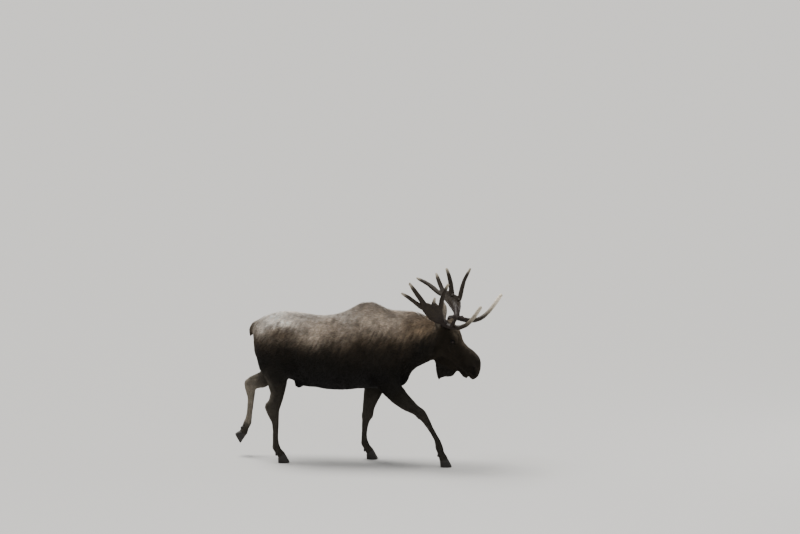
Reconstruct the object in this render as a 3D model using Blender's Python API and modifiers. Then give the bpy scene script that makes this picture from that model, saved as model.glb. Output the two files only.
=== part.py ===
"""Bull moose at a walk, head lowered, as a life-size still model.

The animal faces +X with its left side towards +Y, and stands on three hooves
at z = 0 while the left hind foot is on its way forward. All sizes are metres
and reach out to the tips of the coat.
"""

import math

import bmesh
import bpy
import numpy as np
from mathutils import Matrix, Vector

# ---------------------------------------------------------------- driving sizes
CUT = 0.0004                 # width of every parting cut
SEAT = 0.0010                # how much wider than its part each socket is cut, at the part's corners
CROSSING = 0.0020            # how far two cuts run past the line where they meet
LEG_CUT_MARGIN = 0.020       # how far a leg's cut runs past its surface
MOUTH_CUT_REACH = 0.160      # half breadth of the mouth's cuts
BODY_VOXEL = 0.0085          # grain of the blended flesh
ANTLER_VOXEL = 0.0052        # grain of the blended antlers
BODY_TRIANGLES = 2920
ANTLER_TRIANGLES = 480
RING_POINTS = 28             # points round a body section
TUBE_POINTS = 12             # points round a tine, ear or tail section
LEG_POINTS = 20              # points round a leg's section
FEWEST_CORNERS = 8           # a loose body with fewer is a crumb of a cut

HEAD_ORIGIN = Vector((0.900, -0.050, 1.557))   # poll, between the antler burrs
HEAD_PITCH = math.radians(57.5)                # muzzle below the horizontal
HEAD_YAW = math.radians(-8.0)                  # face turned to the animal's right
HEAD_ROLL = math.radians(1.0)

EYE_RADIUS = 0.0200
EYE_SEAT = (0.208, -0.020, 0.0985)             # along, dorsal, sideways in the head

# Trunk and neck: along, top, bottom, half width, height share of the widest
# level, sideways shift, squareness.
TRUNK = (
    (-1.224, 1.470, 1.225, 0.045, 0.50, 0.000, 2.0),
    (-1.200, 1.528, 1.120, 0.106, 0.50, 0.000, 2.1),
    (-1.120, 1.580, 1.020, 0.171, 0.52, 0.000, 2.2),
    (-1.000, 1.624, 0.940, 0.214, 0.54, 0.000, 2.2),
    (-0.850, 1.646, 0.895, 0.241, 0.55, 0.000, 2.1),
    (-0.680, 1.630, 0.868, 0.252, 0.52, 0.000, 2.1),
    (-0.520, 1.606, 0.806, 0.263, 0.48, 0.000, 2.1),
    (-0.360, 1.616, 0.784, 0.272, 0.46, 0.000, 2.1),
    (-0.200, 1.664, 0.786, 0.268, 0.45, 0.000, 2.0),
    (-0.070, 1.732, 0.802, 0.256, 0.43, 0.000, 1.9),
    (0.040, 1.762, 0.806, 0.241, 0.42, 0.000, 1.85),
    (0.140, 1.738, 0.812, 0.230, 0.43, 0.000, 1.85),
    (0.240, 1.684, 0.822, 0.214, 0.45, 0.000, 1.9),
    (0.340, 1.666, 0.845, 0.193, 0.48, -0.002, 2.0),
    (0.440, 1.670, 0.905, 0.175, 0.52, -0.006, 2.0),
    (0.540, 1.664, 1.028, 0.150, 0.52, -0.012, 2.0),
    (0.640, 1.634, 1.088, 0.133, 0.52, -0.022, 2.0),
    (0.740, 1.580, 1.136, 0.122, 0.52, -0.034, 2.0),
    (0.830, 1.530, 1.190, 0.106, 0.52, -0.044, 2.0),
    (0.880, 1.500, 1.260, 0.076, 0.52, -0.050, 2.0),
)

# Head, in its own frame: along from the poll, dorsal line, lower line, half
# width, height share of the widest level, squareness.
HEAD = (
    (-0.025, 0.000, -0.190, 0.062, 0.55, 2.0),
    (0.000, 0.040, -0.255, 0.096, 0.62, 2.2),
    (0.070, 0.068, -0.290, 0.113, 0.66, 2.4),
    (0.148, 0.074, -0.286, 0.110, 0.68, 2.5),
    (0.210, 0.058, -0.262, 0.101, 0.66, 2.4),
    (0.270, 0.050, -0.236, 0.086, 0.60, 2.3),
    (0.330, 0.060, -0.208, 0.075, 0.56, 2.2),
    (0.390, 0.086, -0.186, 0.070, 0.55, 2.2),
    (0.450, 0.106, -0.170, 0.070, 0.56, 2.3),
    (0.505, 0.110, -0.140, 0.074, 0.55, 2.4),
    (0.555, 0.094, -0.112, 0.077, 0.50, 2.5),
    (0.605, 0.058, -0.095, 0.075, 0.46, 2.5),
    (0.645, 0.018, -0.092, 0.062, 0.42, 2.4),
    (0.672, -0.018, -0.080, 0.036, 0.50, 2.2),
)

# Lower jaw, in the head's frame: along, top, bottom, half width.
JAW = (
    (0.110, -0.130, -0.292, 0.050),
    (0.200, -0.120, -0.278, 0.056),
    (0.300, -0.110, -0.236, 0.050),
    (0.400, -0.100, -0.196, 0.044),
    (0.480, -0.095, -0.172, 0.042),
    (0.545, -0.080, -0.163, 0.045),
    (0.590, -0.082, -0.154, 0.040),
    (0.615, -0.098, -0.136, 0.022),
)
MOUTH_BACK = (0.127, -0.247)       # along and dorsal, ends of the cut under the jaw's upper edge
MOUTH_FRONT = (0.596, -0.081)
LIP_FOOT = (0.650, -0.165)         # the cut turns down here, in front of the chin
JAW_SQUARENESS = 2.4

# Bell, the flap of skin under the throat: along +X, top, bottom, half width.
BELL = (
    (0.768, 1.200, 1.105, 0.018),
    (0.783, 1.210, 0.985, 0.028),
    (0.806, 1.210, 0.920, 0.032),
    (0.836, 1.205, 0.943, 0.040),
    (0.880, 1.200, 0.960, 0.046),
    (0.930, 1.190, 0.960, 0.046),
    (0.975, 1.175, 0.976, 0.040),
    (1.005, 1.160, 1.010, 0.030),
    (1.026, 1.140, 1.050, 0.018),
)

# Flat cuts through the body: centre, normal, half length, half breadth and
# the way the length runs.
BODY_CUTS = (
    ((0.425, -0.005, 1.340), (0.967, 0.0, 0.253), 0.420, 0.240, (0, 0, 1)),      # root of the neck
    ((0.806, -0.045, 1.355), (0.960, -0.050, -0.280), 0.290, 0.200, (0, 0, 1)),  # nape to throat
    ((-1.226, 0.0, 1.420), (0.975, 0.0, -0.220), 0.140, 0.100, (0, 0, 1)),       # root of the tail
    ((0.8875, -0.050, 1.0715), (0.105, 0.0, 0.285), 0.165, 0.085, (0.285, -0.040, -0.105)),      # bell
)

# Planes through armpit and groin: the cut's two ends along X, and its inner
# edge sideways and up.
LIMB_ROOTS = {
    "fore": {"closed_end": -0.055, "open_end": 0.640, "inner": (0.020, 0.785)},
    "hind": {"closed_end": -0.745, "open_end": -1.300, "inner": (0.015, 0.800)},
}
LIMB_ROOT_WAY = (0.60, 0.80)      # outwards and upwards, across the root of a limb
LIMB_ROOT_BREADTH = 0.520
LIMB_ROOT_DEPTH = 0.170           # how far the closing cut reaches down the limb

# Legs: along +X, up, sideways, half depth, half width, each set from the body
# down to the coronet above the hooves.
FORE_FORWARD = (
    (0.170, 1.200, 0.150, 0.180, 0.090),
    (0.215, 1.040, 0.160, 0.160, 0.092),
    (0.285, 0.890, 0.172, 0.128, 0.080),
    (0.368, 0.786, 0.178, 0.105, 0.066),
    (0.476, 0.686, 0.180, 0.083, 0.055),
    (0.570, 0.622, 0.180, 0.059, 0.048),
    (0.638, 0.572, 0.180, 0.056, 0.047),
    (0.690, 0.502, 0.180, 0.044, 0.040),
    (0.735, 0.428, 0.180, 0.034, 0.031),
    (0.782, 0.345, 0.180, 0.031, 0.028),
    (0.818, 0.276, 0.180, 0.035, 0.031),
    (0.836, 0.214, 0.180, 0.042, 0.039),
    (0.852, 0.160, 0.180, 0.037, 0.040),
    (0.868, 0.118, 0.180, 0.040, 0.045),
    (0.882, 0.086, 0.180, 0.043, 0.049),
    (0.896, 0.054, 0.180, 0.043, 0.049),
)
FORE_UPRIGHT = (
    (0.150, 1.200, 0.150, 0.175, 0.090),
    (0.125, 1.040, 0.158, 0.165, 0.090),
    (0.098, 0.900, 0.166, 0.142, 0.080),
    (0.070, 0.785, 0.170, 0.112, 0.066),
    (0.038, 0.670, 0.170, 0.088, 0.055),
    (0.010, 0.560, 0.170, 0.067, 0.048),
    (0.000, 0.490, 0.170, 0.061, 0.048),
    (-0.018, 0.425, 0.170, 0.045, 0.038),
    (-0.030, 0.350, 0.170, 0.035, 0.030),
    (-0.035, 0.270, 0.170, 0.033, 0.028),
    (-0.035, 0.215, 0.170, 0.036, 0.032),
    (-0.028, 0.172, 0.170, 0.043, 0.040),
    (-0.010, 0.134, 0.170, 0.038, 0.040),
    (0.008, 0.108, 0.170, 0.040, 0.045),
    (0.024, 0.084, 0.170, 0.043, 0.049),
    (0.042, 0.056, 0.170, 0.043, 0.049),
)
HIND_UPRIGHT = (
    (-0.900, 1.420, 0.130, 0.190, 0.085),
    (-0.955, 1.250, 0.155, 0.220, 0.100),
    (-0.968, 1.100, 0.170, 0.196, 0.098),
    (-0.952, 0.985, 0.175, 0.150, 0.084),
    (-0.938, 0.880, 0.178, 0.110, 0.068),
    (-0.938, 0.775, 0.180, 0.086, 0.054),
    (-0.960, 0.672, 0.180, 0.078, 0.044),
    (-0.990, 0.598, 0.180, 0.084, 0.042),
    (-0.980, 0.528, 0.180, 0.064, 0.042),
    (-0.962, 0.450, 0.180, 0.043, 0.034),
    (-0.958, 0.360, 0.180, 0.036, 0.030),
    (-0.958, 0.260, 0.180, 0.034, 0.029),
    (-0.956, 0.205, 0.180, 0.038, 0.033),
    (-0.948, 0.165, 0.180, 0.044, 0.040),
    (-0.930, 0.130, 0.180, 0.038, 0.040),
    (-0.912, 0.105, 0.180, 0.040, 0.044),
    (-0.896, 0.082, 0.180, 0.043, 0.048),
    (-0.876, 0.053, 0.180, 0.043, 0.048),
)
HIND_TRAILING = (
    (-0.880, 1.420, 0.130, 0.185, 0.085),
    (-0.935, 1.250, 0.155, 0.205, 0.100),
    (-0.970, 1.100, 0.165, 0.180, 0.096),
    (-1.020, 0.985, 0.165, 0.140, 0.082),
    (-1.080, 0.902, 0.160, 0.114, 0.066),
    (-1.155, 0.850, 0.158, 0.095, 0.054),
    (-1.232, 0.826, 0.156, 0.081, 0.044),
    (-1.285, 0.798, 0.155, 0.074, 0.042),
    (-1.292, 0.735, 0.155, 0.058, 0.041),
    (-1.286, 0.660, 0.155, 0.042, 0.034),
    (-1.292, 0.570, 0.155, 0.036, 0.030),
    (-1.304, 0.470, 0.155, 0.034, 0.029),
    (-1.314, 0.410, 0.155, 0.038, 0.033),
    (-1.326, 0.362, 0.155, 0.044, 0.039),
    (-1.344, 0.322, 0.155, 0.038, 0.039),
    (-1.358, 0.290, 0.155, 0.040, 0.043),
    (-1.370, 0.262, 0.155, 0.042, 0.046),
    (-1.384, 0.230, 0.155, 0.042, 0.046),
)

LEG_SQUARENESS = 2.1

# Muscles and bone under the hide: centre, half sizes, tilt about Y in degrees.
SWELLINGS = (
    ((0.210, -0.172, 1.290), (0.150, 0.072, 0.300), -22.0),     # right shoulder
    ((0.175, 0.172, 1.290), (0.150, 0.072, 0.300), -14.0),      # left shoulder
    ((0.330, -0.130, 1.080), (0.120, 0.090, 0.140), -30.0),     # right point of the shoulder
    ((0.300, 0.130, 1.070), (0.120, 0.090, 0.140), -20.0),      # left point of the shoulder
    ((0.362, 0.000, 0.975), (0.132, 0.120, 0.150), 0.0),        # brisket
    ((-0.930, -0.158, 1.330), (0.200, 0.092, 0.230), 10.0),     # right haunch
    ((-0.930, 0.158, 1.330), (0.200, 0.092, 0.230), 14.0),      # left haunch
    ((-0.805, -0.185, 1.050), (0.085, 0.060, 0.130), 14.0),     # right stifle
    ((-0.830, 0.185, 1.040), (0.085, 0.060, 0.120), 28.0),      # left stifle
    ((-0.727, 0.000, 0.848), (0.068, 0.028, 0.062), 34.0),      # sheath
    ((-0.600, 0.000, 0.866), (0.130, 0.070, 0.062), 8.0),       # fold of the belly in front of it
)
HEAD_SWELLINGS = (
    ((0.180, 0.012, 0.088), (0.058, 0.036, 0.026)),      # brow over each eye
    ((0.235, -0.075, 0.074), (0.075, 0.040, 0.020)),     # cheekbone
    ((0.180, -0.175, 0.060), (0.090, 0.085, 0.040)),     # chewing muscle
    ((0.575, 0.018, 0.052), (0.052, 0.040, 0.028)),      # nostril
    ((0.590, -0.050, 0.040), (0.060, 0.036, 0.032)),     # upper lip
    ((0.010, 0.030, 0.070), (0.042, 0.036, 0.040)),      # antler pedicle
)

# Ears: base, mid and tip, then half breadth and half thickness at each station.
EAR_PATHS = {
    "right": ((0.821, -0.108, 1.495), (0.815, -0.140, 1.595), (0.818, -0.168, 1.705), (0.764, -0.190, 1.822)),
    "left": ((0.840, 0.024, 1.508), (0.834, 0.072, 1.600), (0.838, 0.122, 1.700), (0.796, 0.180, 1.797)),
}
EAR_BREADTHS = (0.027, 0.049, 0.043, 0.009)
EAR_THICKNESSES = (0.021, 0.018, 0.013, 0.005)
EAR_CUP_DEPTH = 0.020

TAIL_PATH = ((-1.165, 0.0, 1.515), (-1.220, 0.0, 1.480), (-1.252, 0.0, 1.425), (-1.262, 0.0, 1.335))
TAIL_RADII = (0.046, 0.040, 0.034, 0.013)

# How freely faces may be merged where the flesh is thinned: least on the head.
MERGE_HEAD = 0.62
MERGE_TAIL = 0.65
MERGE_LEGS = 0.75
LEG_TOP = 0.70               # height below which a face counts as leg
HEAD_REAR = 0.78             # no face behind this counts as head
TAIL_FRONT = -1.160          # faces behind this count as tail

# Antlers: burr, fork and the outline of the palm, then root and tip of each
# tine with its radius. The right antler is a little smaller than the left.
ANTLERS = {
    "right": {
        "burr": (0.890, -0.150, 1.572),
        "fork": (0.878, -0.205, 1.578),
        "palm_rear": ((0.860, -0.215, 1.580), (0.760, -0.290, 1.614), (0.678, -0.385, 1.704)),
        "palm_front": ((0.898, -0.215, 1.592), (0.894, -0.300, 1.700), (0.880, -0.372, 1.795)),
        "tines": {
            "tine_a": ((0.660, -0.430, 1.790), (0.560, -0.500, 1.885), (0.470, -0.550, 1.953), 0.0240),
            "tine_b": ((0.690, -0.445, 1.840), (0.620, -0.520, 1.962), (0.558, -0.570, 2.066), 0.0260),
            "tine_c": ((0.800, -0.430, 1.800), (0.815, -0.470, 1.850), (0.829, -0.500, 1.902), 0.0170),
            "tine_d": ((0.880, -0.385, 1.800), (0.912, -0.430, 1.930), (0.971, -0.470, 2.051), 0.0235),
        },
        "brow": ((0.880, -0.175, 1.560), (1.016, -0.225, 1.535), (1.120, -0.262, 1.564),
                 (1.200, -0.295, 1.635), (1.304, -0.340, 1.784)),
        "brow_spur": ((0.975, -0.225, 1.560), (1.012, -0.262, 1.615), (1.046, -0.285, 1.670)),
    },
    "left": {
        "burr": (0.930, 0.056, 1.584),
        "fork": (0.982, 0.116, 1.604),
        "palm_rear": ((0.968, 0.132, 1.618), (0.905, 0.225, 1.688), (0.790, 0.345, 1.765)),
        "palm_front": ((1.010, 0.135, 1.625), (1.018, 0.225, 1.700), (1.006, 0.300, 1.772)),
        "tines": {
            "tine_a": ((0.750, 0.375, 1.822), (0.620, 0.450, 1.902), (0.491, 0.500, 1.959), 0.0240),
            "tine_b": ((0.790, 0.395, 1.850), (0.742, 0.455, 1.940), (0.707, 0.500, 2.015), 0.0225),
            "tine_c": ((0.900, 0.375, 1.815), (0.872, 0.415, 1.960), (0.829, 0.440, 2.083), 0.0255),
            "tine_d": ((0.995, 0.315, 1.780), (1.030, 0.365, 1.945), (1.102, 0.400, 2.094), 0.0235),
        },
        "brow": ((0.990, 0.095, 1.590), (1.110, 0.135, 1.560), (1.225, 0.190, 1.570),
                 (1.330, 0.240, 1.655), (1.453, 0.280, 1.828)),
        "brow_spur": ((1.020, 0.104, 1.588), (1.036, 0.118, 1.596), (1.052, 0.130, 1.602)),
    },
}
BEAM_RADIUS = 0.0290
BURR_RADIUS = 0.0390
BROW_RADII = (0.0280, 0.0275, 0.0250, 0.0215, 0.0100)
BROW_SPUR_RADII = (0.0200, 0.0150, 0.0080)
PALM_HALF_THICKNESS = 0.0115
PALM_BOWL = 0.045
PALM_CREST_POWER = 1.5       # how late the palm spreads to its crest of tines
TINE_REACH = 0.046           # length of a tine's root inside the palm
TINE_SHAPE = (0.50, 1.0, 0.80)   # of its radius: in the palm, at its root, half way
TINE_TIP = 0.0075
TINE_FLATNESS = 0.72
TINE_CUT = 0.040             # a tine is parted this far above its root

# A hoof's two digits stand side by side. Heel and toe are measured along the
# sole from the middle of the coronet.
HOOF = {"spread": 0.0262, "sole_width": 0.0248, "top_width": 0.0228, "heel": 0.040, "toe": 0.086,
        "top_reach": 0.042, "sole_depth": 0.086}
HOOF_SHARES = (0.0, 0.10, 0.60, 1.0)
DEWCLAW = {"spread": 0.024, "radius": 0.0150, "length": 0.046}
CORONET = -2                 # station of a leg where the hooves begin

# Each limb: its stations, side, turn of the foot, and the stations where it is
# parted: elbow or stifle, knee or hock, fetlock, coronet.
FEET = {
    "right_fore": {"legs": FORE_FORWARD, "side": -1, "pitch": 0.0, "cuts": (3, 6, 11, 14)},
    "left_fore": {"legs": FORE_UPRIGHT, "side": 1, "pitch": 0.0, "cuts": (3, 6, 11, 14)},
    "right_hind": {"legs": HIND_UPRIGHT, "side": -1, "pitch": 0.0, "cuts": (4, 7, 13, 16)},
    "left_hind": {"legs": HIND_TRAILING, "side": 1, "pitch": math.radians(62.0), "cuts": (5, 7, 13, 16)},
}


# ---------------------------------------------------------------- collections and materials
def empty_scene():
    for obj in list(bpy.data.objects):
        bpy.data.objects.remove(obj, do_unlink=True)


def new_collection(name):
    collection = bpy.data.collections.new(name)
    bpy.context.scene.collection.children.link(collection)
    return collection


def principled(name, color, roughness):
    material = bpy.data.materials.new(name)
    material.use_nodes = True
    shader = material.node_tree.nodes["Principled BSDF"]
    shader.inputs["Base Color"].default_value = (*color, 1.0)
    shader.inputs["Roughness"].default_value = roughness
    shader.inputs["Metallic"].default_value = 0.0
    material.diffuse_color = (*color, 1.0)
    return material


# ---------------------------------------------------------------- lofts
def smooth_stations(rows, steps):
    """Rows of numbers made denser along a Catmull-Rom curve."""
    rows = np.array(rows, dtype=float)
    padded = np.vstack([2 * rows[0] - rows[1], rows, 2 * rows[-1] - rows[-2]])
    dense = []
    for index in range(1, len(padded) - 2):
        before, start, end, after = padded[index - 1:index + 3]
        for step in range(steps):
            t = step / steps
            dense.append(0.5 * (2 * start + (end - before) * t
                                + (2 * before - 5 * start + 4 * end - after) * t ** 2
                                + (3 * start - before - 3 * end + after) * t ** 3))
    dense.append(rows[-1])
    return np.array(dense)


def signed_power(value, power):
    return math.copysign(abs(value) ** power, value)


def section(centre, side, up, half_width, rise, drop, squareness, count):
    """A closed ring round centre, with its own height above and below."""
    points = []
    for index in range(count):
        angle = 2 * math.pi * index / count
        across = signed_power(math.cos(angle), 2 / squareness) * half_width
        height = signed_power(math.sin(angle), 2 / squareness)
        height *= rise if height > 0 else drop
        points.append(Vector(centre) + Vector(side) * across + Vector(up) * height)
    return points


def loft(bm, rings):
    """Join rings of equal count into one closed skin in the bmesh."""
    count = len(rings[0])
    rows = [[bm.verts.new(point) for point in ring] for ring in rings]
    faces = []
    for lower, upper in zip(rows, rows[1:]):
        for index in range(count):
            after = (index + 1) % count
            faces.append(bm.faces.new((lower[index], lower[after], upper[after], upper[index])))
    faces.append(bm.faces.new(list(reversed(rows[0]))))
    faces.append(bm.faces.new(rows[-1]))
    bmesh.ops.recalc_face_normals(bm, faces=faces)


def tube(bm, path, radii, steps=4, flat=1.0, flat_axis=(0, 0, 1), count=TUBE_POINTS):
    """A tapering tube whose sections are thinned by flat along flat_axis."""
    rows = [(*point, radius) for point, radius in zip(path, radii)]
    dense = smooth_stations(rows, steps)
    rings = []
    for index, row in enumerate(dense):
        before = Vector(dense[max(index - 1, 0)][:3])
        after = Vector(dense[min(index + 1, len(dense) - 1)][:3])
        tangent = (after - before).normalized()
        thin = Vector(flat_axis) - tangent * tangent.dot(Vector(flat_axis))
        thin.normalize()
        wide = tangent.cross(thin)
        radius = row[3]
        rings.append(section(row[:3], wide, thin, radius, radius * flat, radius * flat, 2.0, count))
    loft(bm, rings)


def ellipsoid(bm, centre, half_sizes, rotation):
    matrix = Matrix.Translation(centre) @ rotation.to_4x4() @ Matrix.Diagonal((*half_sizes, 1.0))
    bmesh.ops.create_uvsphere(bm, u_segments=24, v_segments=14, radius=1.0, matrix=matrix)


def mesh_object(name, bm, collection):
    mesh = bpy.data.meshes.new(name)
    bm.to_mesh(mesh)
    bm.free()
    obj = bpy.data.objects.new(name, mesh)
    collection.objects.link(obj)
    return obj


# ---------------------------------------------------------------- the head's own frame
def head_frame():
    """Unit vectors along the face, out of its dorsal side, and to the animal's left."""
    yaw = Matrix.Rotation(HEAD_YAW, 3, "Z")
    along = yaw @ Vector((math.cos(HEAD_PITCH), 0.0, -math.sin(HEAD_PITCH)))
    roll = Matrix.Rotation(HEAD_ROLL, 3, along)
    dorsal = roll @ yaw @ Vector((math.sin(HEAD_PITCH), 0.0, math.cos(HEAD_PITCH)))
    return along, dorsal, dorsal.cross(along)


def in_head(along, dorsal, sideways=0.0):
    axis, top, left = head_frame()
    return HEAD_ORIGIN + axis * along + top * dorsal + left * sideways


def head_rotation():
    axis, top, left = head_frame()
    return Matrix((axis, top, left)).transposed()


# ---------------------------------------------------------------- flesh
def add_trunk(bm):
    rings = []
    for x, top, bottom, half_width, level, shift, squareness in smooth_stations(TRUNK, 3):
        middle = bottom + (top - bottom) * level
        rings.append(section((x, shift, middle), (0, 1, 0), (0, 0, 1), half_width,
                             top - middle, middle - bottom, squareness, RING_POINTS))
    loft(bm, rings)


def add_head(bm):
    _, top_axis, left_axis = head_frame()
    rings = []
    for along, top, bottom, half_width, level, squareness in smooth_stations(HEAD, 3):
        middle = bottom + (top - bottom) * level
        rings.append(section(in_head(along, middle), left_axis, top_axis, half_width,
                             top - middle, middle - bottom, squareness, RING_POINTS))
    loft(bm, rings)
    rings = []
    for along, top, bottom, half_width in smooth_stations(JAW, 3):
        half_height = (top - bottom) / 2
        rings.append(section(in_head(along, bottom + half_height), left_axis, top_axis,
                             half_width, half_height, half_height, JAW_SQUARENESS, RING_POINTS))
    loft(bm, rings)
    for (along, dorsal, sideways), half_sizes in HEAD_SWELLINGS:
        for side in (-1, 1):
            ellipsoid(bm, in_head(along, dorsal, side * sideways), half_sizes, head_rotation())


def add_bell(bm):
    rings = []
    axis = head_frame()[0]
    for x, top, bottom, half_width in smooth_stations(BELL, 3):
        half_height = (top - bottom) / 2
        y = HEAD_ORIGIN.y + (x - HEAD_ORIGIN.x) * axis.y / axis.x
        rings.append(section((x, y, bottom + half_height), (0, 1, 0), (0, 0, 1),
                             half_width, half_height, half_height, 2.0, TUBE_POINTS))
    loft(bm, rings)


def leg_rows(foot):
    """The stations of a leg with their sideways values on the right side."""
    return [(x, side_y * foot["side"], z, depth, width)
            for x, z, side_y, depth, width in foot["legs"]]


def add_leg(bm, foot):
    dense = smooth_stations(leg_rows(foot), 3)
    rings = []
    for index, (x, y, z, depth, width) in enumerate(dense):
        before = Vector(dense[max(index - 1, 0)][:3])
        after = Vector(dense[min(index + 1, len(dense) - 1)][:3])
        tangent = (after - before).normalized()
        forward = Vector((0, 1, 0)).cross(tangent).normalized()
        side = tangent.cross(forward)
        rings.append(section((x, y, z), forward, side, depth, width, width, LEG_SQUARENESS, LEG_POINTS))
    loft(bm, rings)


def build_flesh(collection):
    """Every fleshy form blended into one closed skin."""
    bm = bmesh.new()
    add_trunk(bm)
    add_head(bm)
    add_bell(bm)
    for foot in FEET.values():
        add_leg(bm, foot)
    for centre, half_sizes, tilt in SWELLINGS:
        ellipsoid(bm, centre, half_sizes, Matrix.Rotation(math.radians(tilt), 3, "Y"))
    tube(bm, TAIL_PATH, TAIL_RADII, flat=0.8, flat_axis=(1, 0, 0.3))
    flesh = mesh_object("flesh", bm, collection)
    blend(flesh, BODY_VOXEL, 7, BODY_TRIANGLES, weight_by_region=True)
    return flesh


def blend(obj, voxel, smoothing, triangles, weight_by_region=False):
    """Fuse overlapping forms, ease the joins, and thin the faces out."""
    remesh = obj.modifiers.new("blend", "REMESH")
    remesh.mode = "VOXEL"
    remesh.voxel_size = voxel
    remesh.adaptivity = 0.0
    ease = obj.modifiers.new("ease", "SMOOTH")
    ease.factor = 0.5
    ease.iterations = smoothing
    apply_modifiers(obj)
    face_count = sum(len(face.vertices) - 2 for face in obj.data.polygons)
    thin = obj.modifiers.new("thin", "DECIMATE")
    thin.ratio = triangles / face_count
    if weight_by_region:
        group = obj.vertex_groups.new(name="keep_detail")
        for vertex in obj.data.vertices:
            group.add([vertex.index], detail_weight(vertex.co), "REPLACE")
        thin.vertex_group = group.name
        thin.vertex_group_factor = 1.0
    apply_modifiers(obj)


def detail_weight(point):
    """How freely the faces round a point may be merged."""
    if (point - HEAD_ORIGIN).dot(head_frame()[0]) > 0.0 and point.x > HEAD_REAR:
        return MERGE_HEAD
    if point.x < TAIL_FRONT:
        return MERGE_TAIL
    if point.z < LEG_TOP:
        return MERGE_LEGS
    return 1.0


def apply_modifiers(obj):
    depsgraph = bpy.context.evaluated_depsgraph_get()
    mesh = bpy.data.meshes.new_from_object(obj.evaluated_get(depsgraph))
    old = obj.data
    obj.modifiers.clear()
    obj.data = mesh
    bpy.data.meshes.remove(old)


# ---------------------------------------------------------------- parting cuts
def add_slab(bm, centre, normal, half_length, half_breadth, long_axis):
    """A box as thin as a cut, lying across the normal."""
    normal = Vector(normal).normalized()
    along = (Vector(long_axis) - normal * normal.dot(Vector(long_axis))).normalized()
    across = normal.cross(along)
    turn = Matrix((along, across, normal)).transposed().to_4x4()
    size = Matrix.Diagonal((2 * half_length, 2 * half_breadth, CUT, 1.0))
    bmesh.ops.create_cube(bm, size=1.0, matrix=Matrix.Translation(centre) @ turn @ size)


def leg_point(foot, height_index):
    """Place and direction of a leg at one of its stations."""
    rows = leg_rows(foot)
    here = Vector(rows[height_index][:3])
    ahead = Vector(rows[min(height_index + 1, len(rows) - 1)][:3])
    behind = Vector(rows[height_index - 1][:3])
    return here, (ahead - behind).normalized()


def limb_root_cuts(kind, side):
    """A slanting plane through armpit or groin, closed by one across the body."""
    spec = LIMB_ROOTS[kind]
    way = Vector((0.0, side * LIMB_ROOT_WAY[0], LIMB_ROOT_WAY[1]))
    facing = Vector((0.0, side * LIMB_ROOT_WAY[1], -LIMB_ROOT_WAY[0]))
    inner = Vector((0.0, side * spec["inner"][0], spec["inner"][1]))
    length = abs(spec["open_end"] - spec["closed_end"])
    centre = inner + way * LIMB_ROOT_BREADTH / 2
    centre.x = (spec["open_end"] + spec["closed_end"]) / 2
    slope = (centre, facing, length / 2 + CROSSING, LIMB_ROOT_BREADTH / 2, (1, 0, 0))
    closing = inner + way * LIMB_ROOT_BREADTH / 2 + facing * LIMB_ROOT_DEPTH
    closing.x = spec["closed_end"]
    return [slope, (closing, (1, 0, 0), LIMB_ROOT_BREADTH / 2, LIMB_ROOT_DEPTH + CROSSING, way)]


def mouth_cuts():
    """The mouth line and the step down in front of the chin."""
    left = head_frame()[2]
    front = in_head(*MOUTH_FRONT)
    mouth = front - in_head(*MOUTH_BACK)
    lip = in_head(*LIP_FOOT) - front
    return [
        (front - mouth / 2, mouth.cross(left), mouth.length / 2 + CROSSING, MOUTH_CUT_REACH, mouth),
        (front + lip / 2, lip.cross(left), lip.length / 2 + CROSSING, MOUTH_CUT_REACH, lip),
    ]


def body_cuts():
    """Centre, normal, half length, half breadth and long axis of every cut."""
    cuts = [*BODY_CUTS, *mouth_cuts()]
    for name, foot in FEET.items():
        kind = "fore" if "fore" in name else "hind"
        for station in foot["cuts"]:
            here, direction = leg_point(foot, station)
            depth, width = foot["legs"][station][3:]
            cuts.append((here, direction, depth + LEG_CUT_MARGIN, width + LEG_CUT_MARGIN, (1, 0, 0)))
        cuts += limb_root_cuts(kind, foot["side"])
    return cuts


def cutter_object(name, bm, collection):
    obj = mesh_object(name, bm, collection)
    obj.hide_render = True
    obj.display_type = "WIRE"
    return obj


def subtract(obj, cutter, overlapping=False):
    cut = obj.modifiers.new("cut", "BOOLEAN")
    cut.operation = "DIFFERENCE"
    cut.solver = "EXACT"
    cut.use_self = overlapping
    cut.object = cutter
    apply_modifiers(obj)


def connected_groups(bm):
    unseen = set(bm.verts)
    groups = []
    while unseen:
        seed = next(iter(unseen))
        stack = [seed]
        unseen.discard(seed)
        group = []
        while stack:
            vertex = stack.pop()
            group.append(vertex)
            for edge in vertex.link_edges:
                other = edge.other_vert(vertex)
                if other in unseen:
                    unseen.discard(other)
                    stack.append(other)
        groups.append(group)
    return groups


def separate(obj, seeds, collection):
    """Split obj into its loose bodies, each named after the nearest seed point."""
    bm = bmesh.new()
    bm.from_mesh(obj.data)
    bm.verts.index_update()
    groups = [group for group in connected_groups(bm) if len(group) >= FEWEST_CORNERS]
    groups.sort(key=lambda group: min(vertex.index for vertex in group))
    pieces = {}
    for group in groups:
        points = [vertex.co.copy() for vertex in group]
        low = Vector(map(min, zip(*points)))
        high = Vector(map(max, zip(*points)))
        middle = (low + high) / 2
        name = min(seeds, key=lambda key: (Vector(seeds[key]) - middle).length)
        if name in pieces:
            raise ValueError(f"two bodies near {name}: {middle[:]}")
        pieces[name] = body_from(group, name, collection)
    bm.free()
    bpy.data.objects.remove(obj, do_unlink=True)
    return pieces


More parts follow.
